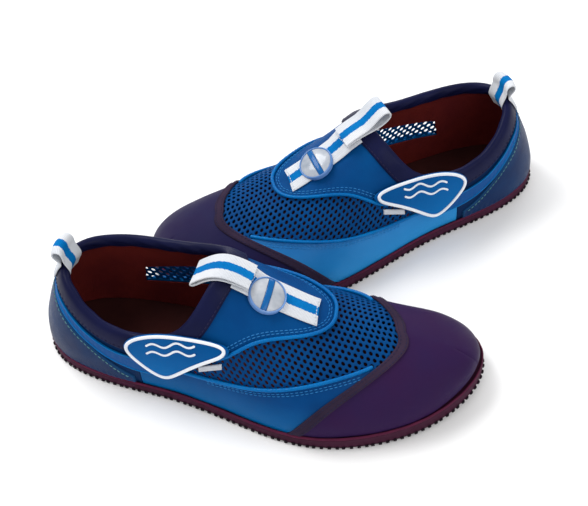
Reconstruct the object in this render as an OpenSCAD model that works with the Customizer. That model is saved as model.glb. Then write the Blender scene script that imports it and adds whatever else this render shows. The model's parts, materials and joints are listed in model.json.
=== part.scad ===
// Pair of low slip-on water shoes (neoprene and mesh upper on a rubber sole)
// Every shoe is described once, as a right shoe; the left one is its mirror image.
// Upper pieces lie on one "last" surface, addressed by a place [u, w]:
//   u runs from the heel (0) to the toe tip (8); w runs from the outer sole edge (0)
//   over the instep line (1) to the inner sole edge (2).

/* [Pair] */
// Turn of the right shoe about the vertical, in degrees
right_yaw = -18.8; // [-19.2:0.1:-18.6]
// Turn of the left shoe about the vertical, in degrees
left_yaw = 198.3; // [198.1:0.1:198.8]
// Distance between the two shoes from front to back
pair_pitch = 122; // [121.5:0.1:124]

/* [Upper] */
// Thickness of the fabric and mesh panels
panel_t = 1.4; // [1.0:0.1:1.4]
// Thickness of the sewn-on overlays
overlay_t = 1.1; // [0.8:0.1:1.1]
// Thickness of the inner lining
lining_t = 1.6; // [1.0:0.1:1.6]
// Radius of the seam piping
piping_r = 1.2; // [0.9:0.1:1.2]

/* [Sole] */
// How far the sole stands out past the upper
sole_lip = 3.2; // [2.6:0.1:3.4]
// Rise of the toe above the ground
toe_spring = 5; // [3:0.5:6]
// Thickness of the footbed
insole_t = 3.2; // [2:0.1:3.5]

/* [Webbing] */
// Width of the striped webbing
webbing_w = 20; // [16:1:21]
// Thickness of the striped webbing
webbing_t = 1.2; // [1.0:0.1:1.3]
// Length of the front pull loop
front_loop_len = 30; // [26:1:31]
// Length of the heel pull loop
heel_loop_len = 19; // [16:1:20]

/* [Emblem] */
// Diameter of the round emblem on the instep
emblem_d = 25; // [22:1:26]

/* [Hidden] */
RIGHT_NODES = ["right_outsole", "right_sole_rand", "right_insole", "right_rear_quarter",
    "right_heel_counter", "right_heel_lining", "right_side_panel_outer", "right_side_panel_inner",
    "right_side_lining", "right_mesh_vent", "right_instep_panel", "right_instep_lining",
    "right_toe_cap", "right_toe_band", "right_collar_binding", "right_instep_piping",
    "right_vent_piping", "right_side_strap", "right_instep_webbing", "right_emblem_bezel",
    "right_emblem_dome", "right_emblem_bar", "right_loop_patch", "right_heel_tab",
    "right_front_loop", "right_heel_loop", "right_badge", "right_badge_border", "right_badge_wave"];
LEFT_NODES = ["left_outsole", "left_sole_rand", "left_insole", "left_rear_quarter",
    "left_heel_counter", "left_heel_lining", "left_side_panel_outer", "left_side_panel_inner",
    "left_side_lining", "left_mesh_vent", "left_instep_panel", "left_instep_lining",
    "left_toe_cap", "left_toe_band", "left_collar_binding", "left_instep_piping",
    "left_vent_piping", "left_side_strap", "left_instep_webbing", "left_emblem_bezel",
    "left_emblem_dome", "left_emblem_bar", "left_loop_patch", "left_heel_tab",
    "left_front_loop", "left_heel_loop", "left_badge", "left_badge_border", "left_badge_wave"];

// ---- Where the shoes stand ----
shoe_mid = 140;             // the point of a shoe that its placement turns about
right_at = [-29.5, -58.7];
left_at = [29.1, right_at.y + pair_pitch];

// ---- The last ----
toe_u = 8;
// Sole edge, from the heel along the outer side to the toe (ninth row) and back
SOLE_EDGE = [[-16, 0, 7], [4, -27, 7], [46, -36, 7], [92, -38, 7], [136, -50, 7], [180, -60, 8],
    [222, -48, 9.5], [256, -27, 12], [280, 14, 14], [266, 46, 12], [225, 40, 9.5], [180, 36, 8],
    [136, 35, 7], [90, 31, 7], [43, 34, 7], [0, 27, 7]];
// Instep line, which runs on over the opening above the heel
INSTEP = [[52, 0, 114], [50, 0, 115], [59, 0, 115], [93, 0, 105], [131, 0, 83], [168, 0, 64],
    [207, 2, 51], [241, 4, 45], [262, 6, 36]];
// Roundness of each section: out and up at the sole edge, sideways at the instep line
ROUNDNESS = [[5, 28, 24], [5, 29, 26], [5, 29, 32], [4, 25, 30], [3, 20, 30], [3, 19, 35],
    [3, 16, 33], [3, 13, 26], [4, 9, 15]];

// ---- Seam lines, as [u, w] places ----
RIM = [[0, 0.53], [1, 0.51], [1.9, 0.36], [2.6, 0.37], [3.2, 0.46], [3.6, 0.72], [3.74, 1],
    [3.64, 1.24], [3.25, 1.36], [2.7, 1.47], [1.9, 1.51], [1, 1.5], [0, 1.47]];
BINDING_EDGE = [[0, 0.45], [1, 0.43], [1.9, 0.28], [2.6, 0.28], [3.38, 0.4], [3.84, 0.68], [4.02, 1],
    [3.9, 1.28], [3.45, 1.44], [2.7, 1.555], [1.9, 1.59], [1, 1.58], [0, 1.55]];
// Edge between the instep panel and the mesh, round the end of the instep panel
INSTEP_SEAM = [[2.42, 0.3], [2.9, 0.33], [3.4, 0.36], [3.9, 0.43], [4.35, 0.62], [4.85, 0.73],
    [5.24, 0.82], [5.46, 0.92], [5.5, 1.04], [5.34, 1.14], [5, 1.23], [4.5, 1.33], [3.9, 1.44],
    [3.2, 1.55], [2.42, 1.64]];
// Outer edge of the mesh: side panel, toe cap, side panel
VENT_SEAM = [[2.42, 0.22], [2.9, 0.235], [3.4, 0.255], [3.95, 0.295], [4.65, 0.37], [5.35, 0.53],
    [5.98, 0.66], [6.4, 0.82], [6.6, 1], [6.32, 1.17], [5.88, 1.32], [5.2, 1.47], [4.4, 1.62],
    [3.4, 1.71], [2.42, 1.76]];
VENT_OUTER_END = 6;         // the row of VENT_SEAM where the outer side panel stops
VENT_INNER_START = 10;      // the row where the inner side panel starts
OUTER_SOLE_SEAM = [[2.42, 0], [2.9, 0], [3.4, 0], [3.9, 0], [4.22, 0], [4.48, 0], [4.7, 0]];
INNER_SOLE_SEAM = [[5.34, 2], [4.8, 2], [4.1, 2], [3.3, 2], [2.42, 2]];
// u of the toe cap's rear edge, at even steps of w
CAP_EDGE = [4.82, 5.1, 5.48, 5.98, 6.46, 6.72, 6.32, 5.88, 5.64, 5.5, 5.4];
COUNTER_EDGE = [[-2.32, 0.08], [-2.1, 0.12], [-1.8, 0.2], [-1.4, 0.28], [-0.9, 0.36], [-0.5, 0.41],
    [0, 0.42], [0.5, 0.41], [0.9, 0.36], [1.4, 0.28], [1.8, 0.2], [2.1, 0.12], [2.32, 0.08]];
STRAP_TOP = [[0.3, 0.435], [0.9, 0.41], [1.4, 0.34], [1.9, 0.255], [2.4, 0.24], [2.9, 0.26]];
STRAP_FOOT = [[0.3, 0.425], [0.9, 0.38], [1.4, 0.3], [1.9, 0.2], [2.4, 0.15], [2.9, 0.17]];
BADGE_EDGE = [[2.12, 0.27], [2.3, 0.34], [2.7, 0.4], [3.2, 0.44], [3.7, 0.48], [4.06, 0.5],
    [4.03, 0.44], [3.7, 0.36], [3.3, 0.25], [3, 0.15], [2.82, 0.11], [2.6, 0.14], [2.34, 0.2]];
BADGE_MID = [2.95, 0.32];
rear_quarter_u = 2.38;      // where the rear quarter meets the side panels

// ---- Heights above the last surface ----
lining_low = -0.4 - lining_t;
lining_high = -0.4;
overlay_low = panel_t + 0.4;
overlay_high = overlay_low + overlay_t;
badge_low = overlay_high + 0.4;
badge_t = 1.8;
binding_t = 1.3;
seam_gap = 0.05;            // share of a panel's width that is left open at its seams

// ---- Curves ----
function weights(f) = [pow(1 - f, 3) / 6, (3 * f * f * f - 6 * f * f + 4) / 6,
    (-3 * f * f * f + 3 * f * f + 3 * f + 1) / 6, f * f * f / 6];
function mixed(a, b, c, d, k) = a * k[0] + b * k[1] + c * k[2] + d * k[3];
// Smooth closed curve that follows the rows of p
function loop_at(p, t) =
    let (n = len(p), i = floor(t), k = weights(t - i))
    mixed(p[(i - 1 + n) % n], p[(i + n) % n], p[(i + 1) % n], p[(i + 2) % n], k);
// Row i of p, carried on in a straight line past both ends
function row(p, i) =
    let (n = len(p))
    i < 0 ? 2 * p[0] - p[1] : i > n - 1 ? 2 * p[n - 1] - p[n - 2] : p[i];
// Smooth open curve from the first row of p to the last
function path_at(p, t) =
    let (i = min(floor(t), len(p) - 2), k = weights(t - i))
    mixed(row(p, i - 1), row(p, i), row(p, i + 1), row(p, i + 2), k);
// As path_at, but level at the start, for curves that run on round the heel
function level_path_at(p, t) =
    let (i = min(floor(t), len(p) - 2), k = weights(t - i))
    mixed(i == 0 ? p[1] : p[i - 1], p[i], p[i + 1], row(p, i + 2), k);
function between(a, b, s) = a + (b - a) * s;

// ---- The last surface ----
function clamp(x, low, high) = min(max(x, low), high);
function unit(v) = v / norm(v);
slope_step = 0.02;
function instep_slope(u) =
    let (a = clamp(u, slope_step, toe_u) - slope_step,
        d = level_path_at(INSTEP, a + slope_step) - level_path_at(INSTEP, a))
    clamp((u - 2) / 2, 0, 1) * d.z / max(d.x, 0.01);
function sole_out(t) =
    let (d = loop_at(SOLE_EDGE, t + 0.01) - loop_at(SOLE_EDGE, t + 15.99))
    unit([d.y, -d.x, 0]);
function section_point(side_t, u, v) =
    let (foot = loop_at(SOLE_EDGE, side_t), out = sole_out(side_t), top = level_path_at(INSTEP, u),
        r = level_path_at(ROUNDNESS, u),
        low = foot + out * r.x + [0, 0, r.y],
        high = top + [out.x, out.y, out.x * instep_slope(u)] * r.z)
    pow(1 - v, 3) * foot + 3 * pow(1 - v, 2) * v * low + 3 * (1 - v) * v * v * high
        + v * v * v * top;
// Point of the last at place [u, w]; places run on round the heel and round the toe
function last_point(u, w) =
    u < 0 ? last_point(-u, 2 - w) :
    u > toe_u ? last_point(2 * toe_u - u, 2 - w) :
    w <= 1 ? section_point(u, u, w) : section_point((2 * toe_u - u) % 16, u, 2 - w);
du = 0.02;
dw = 0.01;
function last_normal(u, w) =
    u > toe_u - 2 * du ? last_normal(toe_u - 2 * du, w) :
    unit(cross(last_point(u + du, w) - last_point(u - du, w),
        last_point(u, w + dw) - last_point(u, w - dw)));
// Point at a height above the last surface
function skin(place, height) =
    last_point(place.x, place.y) + last_normal(place.x, place.y) * height;

// ---- Builders ----
// Closed shell over a grid of places: place_at(i, j) for i = 0..n and j = 0..m
module shell(place_at, n, m, low_at, high_at, ring = false) {
    rows = ring ? n : n + 1;
    outer = [for (i = [0:rows - 1]) for (j = [0:m]) skin(place_at(i, j), high_at(i, j))];
    inner = [for (i = [0:rows - 1]) for (j = [0:m]) skin(place_at(i, j), low_at(i, j))];
    half = rows * (m + 1);
    function at(i, j) = (i % rows) * (m + 1) + j;
    polyhedron(concat(outer, inner), concat(
        [for (i = [0:n - 1]) for (j = [0:m - 1]) each
            [[at(i, j), at(i + 1, j + 1), at(i, j + 1)], [at(i, j), at(i + 1, j), at(i + 1, j + 1)]]],
        [for (i = [0:n - 1]) for (j = [0:m - 1]) each
            [[half + at(i, j), half + at(i, j + 1), half + at(i + 1, j + 1)],
             [half + at(i, j), half + at(i + 1, j + 1), half + at(i + 1, j)]]],
        [for (i = [0:n - 1]) each
            [[at(i, 0), half + at(i + 1, 0), at(i + 1, 0)], [at(i, 0), half + at(i, 0), half + at(i + 1, 0)],
             [at(i, m), at(i + 1, m), half + at(i + 1, m)], [at(i, m), half + at(i + 1, m), half + at(i, m)]]],
        ring ? [] : [for (j = [0:m - 1]) each
            [[at(0, j), half + at(0, j + 1), half + at(0, j)], [at(0, j), at(0, j + 1), half + at(0, j + 1)],
             [at(n, j), half + at(n, j), half + at(n, j + 1)], [at(n, j), half + at(n, j + 1), at(n, j + 1)]]]),
        convexity = 8);
}
// Solid skinned over rings of points, closed into a loop or capped at both ends; each cap is a
// ladder of rungs from a point j of the ring to its opposite, m - 1 - j
module skinned(rings, loop = false) {
    n = len(rings);
    m = len(rings[0]);
    last = loop ? n - 1 : n - 2;
    polyhedron([for (ring = rings) each ring], concat(
        [for (i = [0:last]) for (j = [0:m - 1]) let (a = i * m, b = ((i + 1) % n) * m, k = (j + 1) % m) each
            [[a + j, a + k, b + k], [a + j, b + k, b + j]]],
        loop ? [] : [for (j = [0:m / 2 - 2]) let (e = (n - 1) * m, d = m - 1 - j) each
            [[j, d, d - 1], [j, d - 1, j + 1], [e + j, e + j + 1, e + d - 1], [e + j, e + d - 1, e + d]]]),
        convexity = 8);
}
piping_sides = 6;
// Round piping along a curve of places
module piping(place_at, n, height) {
    skinned([for (i = [0:n])
        let (p = place_at(i / n), q = place_at(min(i / n + 0.01, 1)), q0 = place_at(max(i / n - 0.01, 0)),
            c = skin(p, height), up = last_normal(p.x, p.y),
            along = unit(skin(q, height) - skin(q0, height)), side = unit(cross(up, along)))
        [for (k = [0:piping_sides - 1]) let (a = 360 * k / piping_sides)
            c + (side * cos(a) - up * sin(a)) * piping_r]]);
}
function level(h) = function(i, j) h;

// ---- Sole ----
sole_n = 64;
spring_from = 200;          // x where the toe starts to rise
toe_x = 276;
function ground(x) = x < spring_from ? 0 : toe_spring * pow((x - spring_from) / (toe_x - spring_from), 2);
// Sole outline grown by out, at a height given by z_at(edge point)
function outline(out, z_at) = [for (k = [0:sole_n - 1])
    let (t = 16 * k / sole_n, e = loop_at(SOLE_EDGE, t), p = e + sole_out(t) * out) [p.x, p.y, z_at(e)]];
// Solid between outlines stacked upward; top and bottom are closed rung by rung
module stacked(outlines) {
    n = sole_n;
    m = len(outlines);
    top = (m - 1) * n;
    function rungs(base, up) = [for (k = [0:n / 2 - 1])
        let (a = base + k, b = base + k + 1, c = base + (n - k - 1) % n, d = base + (n - k) % n)
        each (k == 0 ? (up ? [[a, c, b]] : [[a, b, c]]) :
            k == n / 2 - 1 ? (up ? [[a, d, b]] : [[a, b, d]]) :
            up ? [[a, c, b], [a, d, c]] : [[a, b, c], [a, c, d]])];
    polyhedron([for (o = outlines) each o], concat(
        [for (i = [0:m - 2]) for (k = [0:n - 1]) let (a = i * n, b = a + n, q = (k + 1) % n) each
            [[a + k, b + k, b + q], [a + k, b + q, a + q]]],
        rungs(0, false), rungs(top, true)), convexity = 6);
}
bevel = 1.2;
sole_gap = 0.5;
module outsole() {
    color([0.10, 0.09, 0.11])
    stacked([outline(sole_lip - bevel, function(e) ground(e.x)),
        outline(sole_lip, function(e) ground(e.x) + bevel),
        outline(sole_lip, function(e) e.z - sole_gap - 0.4),
        outline(sole_lip - 0.4, function(e) e.z - sole_gap)]);
}
rand_in = overlay_high + 0.2;
rand_h = 3;
module sole_rand() {
    color([0.36, 0.14, 0.20])
    skinned([for (k = [0:sole_n - 1])
        let (t = 16 * k / sole_n, e = loop_at(SOLE_EDGE, t), o = sole_out(t), z = [0, 0, e.z - sole_gap + 0.1],
            f = [e.x, e.y, 0] + z)
        [f + o * rand_in, f + o * (sole_lip + 0.6), f + o * (sole_lip + 0.6) + [0, 0, rand_h - 0.6],
         f + o * (rand_in + 0.5) + [0, 0, rand_h], f + o * rand_in + [0, 0, rand_h]]], loop = true);
}
insole_in = -lining_low + 0.8;
module insole() {
    color([0.26, 0.10, 0.12])
    stacked([outline(-insole_in, function(e) e.z - sole_gap + 0.1),
        outline(-insole_in, function(e) e.z - sole_gap + insole_t - 0.8),
        outline(-insole_in - 0.8, function(e) e.z - sole_gap + insole_t)]);
}

// ---- Collar ----
collar_rows = len(RIM) - 1;
collar_n = 42;
// Place in the collar: s = 0 at the rim, 1 at the lower edge of the binding
function collar_place(t, s) = between(path_at(RIM, t), path_at(BINDING_EDGE, t), s);
// U-shaped tape folded over the rim
module collar_binding() {
    tape = [[1, overlay_low], [1, overlay_high - 0.3], [0.85, overlay_high], [0.12, overlay_high - 0.2],
        [-0.06, panel_t * 0.5], [-0.1, lining_low * 0.5],
        [0.08, lining_low - binding_t], [0.5, lining_low - binding_t],
        [0.55, lining_low - 0.4], [0.16, lining_low - 0.4], [0.1, lining_low * 0.5], [0.13, overlay_low]];
    color([0.16, 0.14, 0.27])
    skinned([for (i = [0:collar_n - 1]) let (t = collar_rows * i / collar_n)
        [for (k = tape) skin(collar_place(t, k[0]), k[1])]], loop = true);
}
panel_top = 0.2;            // panels stop this far down inside the binding

// ---- Rear of the upper ----
quarter_n = 32;
// Rim height at station u on either side, by stepping along the rim from the heel
function rim_w(u, t = 0) =
    path_at(RIM, t).x >= u || t > 3.2 ? collar_place(t, panel_top).y : rim_w(u, t + 0.05);
function inner_rim_w(u, t = 12) =
    path_at(RIM, t).x >= u || t < 8.5 ? collar_place(t, panel_top).y : inner_rim_w(u, t - 0.05);
function quarter_place(i, j, n, m, foot) =
    let (u = rear_quarter_u * (1 - 2 * i / n), top = u >= 0 ? rim_w(u) : 2 - inner_rim_w(-u))
    [u, between(foot, top, j / m)];
module rear_quarter() {
    color([0.13, 0.16, 0.34])
    shell(function(i, j) quarter_place(i, j, quarter_n, 5, 0), quarter_n, 5, level(0), level(panel_t));
}
module heel_lining() {
    color([0.24, 0.10, 0.11])
    shell(function(i, j) quarter_place(i, j, quarter_n, 5, 0.06), quarter_n, 5,
        level(lining_low), level(lining_high));
}
counter_rows = len(COUNTER_EDGE) - 1;
counter_n = 30;
module heel_counter() {
    color([0.14, 0.15, 0.36])
    shell(function(i, j) let (p = path_at(COUNTER_EDGE, counter_rows * (1 - i / counter_n)))
            [p.x, between(0.045, p.y, j / 4)],
        counter_n, 4, level(overlay_low), level(overlay_high));
}

// ---- Sides, mesh and instep ----
function vent_place(t, s) = between(path_at(INSTEP_SEAM, t), path_at(VENT_SEAM, t), s);
side_n = 16;
side_lining_n = 12;
function side_outer_place(i, j, m, n = side_n) =
    let (t = VENT_OUTER_END * (1 - i / n))
    between(path_at(OUTER_SOLE_SEAM, t), path_at(VENT_SEAM, t), j / m);
function side_inner_place(i, j, m, n = side_n) =
    let (t = (len(INNER_SOLE_SEAM) - 1) * (1 - i / n))
    between(path_at(INNER_SOLE_SEAM, t), path_at(VENT_SEAM, t + VENT_INNER_START), j / m);
module side_panel_outer() {
    color([0.05, 0.38, 0.70])
    shell(function(i, j) side_outer_place(i, j, 4), side_n, 4, level(0), level(panel_t));
}
module side_panel_inner() {
    color([0.05, 0.38, 0.70])
    shell(function(i, j) side_inner_place(i, j, 4), side_n, 4, level(0), level(panel_t));
}
module side_lining() {
    color([0.24, 0.10, 0.11]) {
        shell(
            function(i, j)
                between(side_outer_place(i, j, 2, side_lining_n), side_outer_place(i, 1, 2, side_lining_n), 0.12),
            side_lining_n, 2, level(lining_low), level(lining_high));
        shell(
            function(i, j)
                between(side_inner_place(i, j, 2, side_lining_n), side_inner_place(i, 1, 2, side_lining_n), 0.12),
            side_lining_n, 2, level(lining_low), level(lining_high));
    }
}
vent_rows = len(VENT_SEAM) - 1;
vent_n = 40;
module mesh_vent() {
    color([0.08, 0.32, 0.60])
    shell(function(i, j) vent_place(vent_rows * (1 - i / vent_n), between(1 - seam_gap, seam_gap, j / 5)),
        vent_n, 5, level(0.2), level(panel_t - 0.2));
}
// The instep panel runs from the collar to the instep seam
function instep_place(x, s) =
    between(path_at(INSTEP_SEAM, vent_rows * x), collar_place(between(2.78, 9.15, x), panel_top), s);
instep_n = 40;
module instep_panel() {
    color([0.06, 0.36, 0.68])
    shell(function(i, j) instep_place(1 - i / instep_n, j / 4), instep_n, 4, level(0), level(panel_t));
}
module instep_lining() {
    color([0.24, 0.10, 0.11])
    shell(function(i, j) instep_place(1 - i / instep_n, between(0.08, 0.97, j / 3)), instep_n, 3,
        level(lining_low), level(lining_high));
}
module instep_piping() {
    color([0.30, 0.58, 0.86])
    piping(function(x) path_at(INSTEP_SEAM, between(3.4, 12.4, x)), 40, overlay_low + piping_r);
}
module vent_piping() {
    color([0.22, 0.52, 0.84]) {
        piping(function(x) path_at(VENT_SEAM, between(2.6, VENT_OUTER_END - 0.2, x)), 16, overlay_low + piping_r);
        piping(function(x) path_at(VENT_SEAM, between(VENT_INNER_START + 0.3, 13.4, x)), 14,
            overlay_low + piping_r);
    }
}

// ---- Toe ----
cap_n = 24;
cap_m = 9;
cap_rows = len(CAP_EDGE) - 1;
function cap_u(w) = path_at(CAP_EDGE, cap_rows * w / 2);
module toe_cap() {
    // the grid folds shut along the toe tip, so its last column is shared by both sides
    low = 0.02;
    function cap_place(i, j) =
        let (w = between(low, 2 - low, i / cap_n))
        [between(cap_u(w) + 0.03, toe_u, j / cap_m), w];
    function at(i, j) = j < cap_m ? i * cap_m + j : (cap_n + 1) * cap_m + min(i, cap_n - i);
    places = concat([for (i = [0:cap_n]) for (j = [0:cap_m - 1]) cap_place(i, j)],
        [for (i = [0:cap_n / 2]) cap_place(i, cap_m)]);
    half = len(places);
    color([0.24, 0.17, 0.36])
    polyhedron(concat([for (p = places) skin(p, panel_t + 0.2)], [for (p = places) skin(p, 0)]), concat(
        [for (i = [0:cap_n - 1]) for (j = [0:cap_m - 1]) each
            [[at(i, j), at(i + 1, j + 1), at(i, j + 1)], [at(i, j), at(i + 1, j), at(i + 1, j + 1)]]],
        [for (i = [0:cap_n - 1]) for (j = [0:cap_m - 1]) each
            [[half + at(i, j), half + at(i, j + 1), half + at(i + 1, j + 1)],
             [half + at(i, j), half + at(i + 1, j + 1), half + at(i + 1, j)]]],
        [for (i = [0:cap_n - 1]) each
            [[at(i, 0), half + at(i + 1, 0), at(i + 1, 0)], [at(i, 0), half + at(i, 0), half + at(i + 1, 0)]]],
        [for (j = [0:cap_m - 1]) each
            [[at(0, j), at(0, j + 1), half + at(0, j + 1)], [at(0, j), half + at(0, j + 1), half + at(0, j)],
             [at(cap_n, j), half + at(cap_n, j + 1), at(cap_n, j + 1)],
             [at(cap_n, j), half + at(cap_n, j), half + at(cap_n, j + 1)]]]), convexity = 8);
}
band_back = 0.09;
band_front = 0.055;
module toe_band() {
    color([0.15, 0.10, 0.13])
    shell(
        function(i, j)
            let (w = between(0.03, 1.97, i / 36)) [cap_u(w) + between(-band_back, band_front, j / 2), w],
        36, 2, level(overlay_low), level(overlay_high - 0.2));
}

// ---- Side strap and badge ----
module side_strap() {
    color([0.10, 0.42, 0.76])
    shell(function(i, j) let (t = (len(STRAP_TOP) - 1) * (1 - i / 14))
            between(path_at(STRAP_FOOT, t), path_at(STRAP_TOP, t), j / 2),
        14, 2, level(overlay_low), level(overlay_high));
}
badge_n = 30;
badge_rings = 3;
function badge_place(k, s) = between(BADGE_MID, loop_at(BADGE_EDGE, len(BADGE_EDGE) * k / badge_n), s);
module badge() {
    function disc(h) = concat([skin(BADGE_MID, h)],
        [for (r = [1:badge_rings]) for (k = [0:badge_n - 1]) skin(badge_place(k, r / badge_rings), h)]);
    half = 1 + badge_rings * badge_n;
    function at(r, k) = 1 + (r - 1) * badge_n + k % badge_n;
    edge = badge_rings;
    color([0.08, 0.36, 0.72])
    polyhedron(concat(disc(badge_low + badge_t), disc(badge_low)), concat(
        [for (k = [0:badge_n - 1])
            each [[0, at(1, k), at(1, k + 1)], [half, half + at(1, k + 1), half + at(1, k)]]],
        [for (r = [1:badge_rings - 1]) for (k = [0:badge_n - 1]) each
            [[at(r, k), at(r + 1, k), at(r + 1, k + 1)], [at(r, k), at(r + 1, k + 1), at(r, k + 1)],
             [half + at(r, k), half + at(r + 1, k + 1), half + at(r + 1, k)],
             [half + at(r, k), half + at(r, k + 1), half + at(r + 1, k + 1)]]],
        [for (k = [0:badge_n - 1]) each
            [[at(edge, k), half + at(edge, k), half + at(edge, k + 1)],
             [at(edge, k), half + at(edge, k + 1), at(edge, k + 1)]]]), convexity = 6);
}
border_low = badge_low + badge_t + 0.05;
module badge_border() {
    color([0.93, 0.94, 0.95])
    shell(function(i, j) badge_place(i, between(0.99, 0.84, j)), badge_n, 1, level(border_low),
        level(border_low + 0.7), ring = true);
}
wave_n = 14;
// Two plain waves as a neutral decoration
module badge_wave() {
    color([0.93, 0.94, 0.95])
    for (k = [0, 1])
        shell(function(i, j) let (x = i / wave_n)
                [between(2.62, 3.5, x),
                    0.275 + 0.1 * x + 0.045 * k + 0.012 * sin(720 * x) - 0.007 + 0.014 * (1 - j)],
            wave_n, 1, level(border_low), level(border_low + 0.5));
}
module loop_patch() {
    color([0.92, 0.93, 0.93])
    shell(
        function(i, j) let (u = between(3.86, 3.42, i / 6)) [u, between(0.325, 0.4, j / 2) + 0.12 * (u - 3.64)],
        6, 2, level(overlay_low), level(overlay_high - 0.1));
}

// ---- Webbing and loops ----
strap_w = 0.96;             // w of the webbing's centre line
strap_from = 3.95;
strap_to = 5.22;
strap_n = 16;
function strap_half(u) = webbing_w / 2 / (3 * level_path_at(ROUNDNESS, u).z);
// The webbing steps up over the collar binding at its rear end
function strap_rise(u) = overlay_low + (overlay_t + 0.3) * clamp((4.3 - u) / 0.18, 0, 1);
function strap_u(i) = between(strap_from, strap_to, i / strap_n);
module instep_webbing() {
    color([0.90, 0.92, 0.93])
    shell(function(i, j) [strap_u(i), strap_w + strap_half(strap_u(i)) * (1 - j / 2)],
        strap_n, 4, function(i, j) strap_rise(strap_u(i)), function(i, j) strap_rise(strap_u(i)) + webbing_t);
}
// Outline round two circles on the X axis: radius r0 at 0 and r1 at length d
function drop(r0, r1, d, n = 12) =
    let (a = asin((r1 - r0) / d))
    concat([for (k = [0:n]) let (b = -90 - a + (180 + 2 * a) * k / n) [d + r1 * cos(b), r1 * sin(b)]],
        [for (k = [0:n / 2]) let (b = 90 + a + (180 - 2 * a) * k / (n / 2)) [r0 * cos(b), r0 * sin(b)]]);
// Closed loop of webbing that starts at the origin and points along +X
module webbing_loop(length) {
    end_r = 4;
    start_r = webbing_t;
    color([0.90, 0.92, 0.93])
    rotate([90, 0, 0])
    linear_extrude(height = webbing_w, center = true)
    difference() {
        polygon(drop(start_r, end_r, length - end_r - start_r));
        polygon([for (p = drop(0.3, end_r - webbing_t, length - end_r - start_r - 6)) p + [6, 0]]);
    }
}
front_hinge = skin([3.8, strap_w], overlay_high + webbing_t + 2);
module front_loop(tilt) {
    translate(front_hinge) rotate([0, 180 + tilt, 0]) webbing_loop(front_loop_len);
}
heel_rim = skin([0, 0.53], 0);
heel_hinge = heel_rim + [-1.2, 0, 4.4];
heel_loop_tilt = 128;
module heel_loop() {
    translate(heel_hinge) rotate([0, -heel_loop_tilt, 0]) webbing_loop(heel_loop_len);
}
// Tape that saddles the collar at the heel and holds the loop
module heel_tab() {
    tab_half = 0.38;
    tab = [[0.95, overlay_high + 1.1], [0.05, overlay_high + 1.1], [-0.18, 0.7], [-0.18, -1.8],
        [0.05, lining_low - binding_t - 1.3], [0.9, lining_low - binding_t - 1.3],
        [0.9, lining_low - binding_t - 0.5], [0.1, lining_low - binding_t - 0.5], [-0.13, -1.5], [-0.12, 0.5],
        [0.08, overlay_high + 0.3], [0.95, overlay_high + 0.3]];
    color([0.90, 0.92, 0.93])
    skinned([for (i = [0:8])
        let (x = between(-tab_half, tab_half, i / 8), t = abs(x))
        [for (k = tab) let (p = collar_place(x >= 0 ? t : collar_rows - t, k[0])) skin(p, k[1])]]);
}

// ---- Emblem ----
emblem_place = [4.52, 0.94];
emblem_h = overlay_low + webbing_t + 0.6;
module on_instep(place, height) {
    n = last_normal(place.x, place.y);
    translate(skin(place, height))
    rotate([0, acos(n.z), atan2(n.y, n.x)])
    rotate([0, 0, -atan2(n.y, n.x)])
    children();
}
bezel_w = 2.6;
bezel_h = 2.2;
bezel_chamfer = 0.8;
bezel_floor = 1.2;          // the dome and bar stand on it
module emblem_bezel() {
    color([0.12, 0.42, 0.74])
    on_instep(emblem_place, emblem_h)
    rotate_extrude($fn = 72)
    polygon([[0, 0], [emblem_d / 2, 0], [emblem_d / 2, bezel_h - bezel_chamfer],
        [emblem_d / 2 - bezel_chamfer, bezel_h], [emblem_d / 2 - bezel_w, bezel_h],
        [emblem_d / 2 - bezel_w, bezel_floor], [0, bezel_floor]]);
}
bar_gap = 0.15;             // round the lens halves and beside the bar
dome_r = emblem_d / 2 - bezel_w - bar_gap;
dome_h = 1.8;
bar_w = 4.2;
bar_turn = 62;              // turn of the bar from the strap's direction
// Block of width w that runs right across the emblem
module across_emblem(w) {
    rotate([0, 0, bar_turn])
    translate([-emblem_d / 2, -w / 2, -1])
    cube([emblem_d, w, dome_h + 2]);
}
module emblem_dome() {
    // two lens halves with the bar's groove between them
    color([0.80, 0.82, 0.84])
    on_instep(emblem_place, emblem_h + 1.3)
    difference() {
        cylinder(r = dome_r, h = dome_h, $fn = 72);
        across_emblem(bar_w + 2 * bar_gap);
    }
}
module emblem_bar() {
    color([0.14, 0.44, 0.74])
    on_instep(emblem_place, emblem_h + 1.3)
    intersection() {
        cylinder(r = dome_r, h = dome_h - 0.2, $fn = 72);
        across_emblem(bar_w);
    }
}

// ---- The two shoes ----
front_tilt_right = 4;       // the right loop lies back over the opening
front_tilt_left = 30;       // the left loop stands up
module right_shoe() {
    translate([right_at.x, right_at.y, 0])
    rotate([0, 0, right_yaw])
    translate([-shoe_mid, 0, 0])
    children();
}
module left_shoe() {
    translate([left_at.x, left_at.y, 0])
    rotate([0, 0, left_yaw])
    mirror([0, 1, 0])
    translate([-shoe_mid, 0, 0])
    children();
}

right_shoe() outsole();  // right_outsole
right_shoe() sole_rand();  // right_sole_rand
right_shoe() insole();  // right_insole
right_shoe() rear_quarter();  // right_rear_quarter
right_shoe() heel_counter();  // right_heel_counter
right_shoe() heel_lining();  // right_heel_lining
right_shoe() side_panel_outer();  // right_side_panel_outer
right_shoe() side_panel_inner();  // right_side_panel_inner
right_shoe() side_lining();  // right_side_lining
right_shoe() mesh_vent();  // right_mesh_vent
right_shoe() instep_panel();  // right_instep_panel
right_shoe() instep_lining();  // right_instep_lining
right_shoe() toe_cap();  // right_toe_cap
right_shoe() toe_band();  // right_toe_band
right_shoe() collar_binding();  // right_collar_binding
right_shoe() instep_piping();  // right_instep_piping
right_shoe() vent_piping();  // right_vent_piping
right_shoe() side_strap();  // right_side_strap
right_shoe() instep_webbing();  // right_instep_webbing
right_shoe() emblem_bezel();  // right_emblem_bezel
right_shoe() emblem_dome();  // right_emblem_dome
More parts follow.
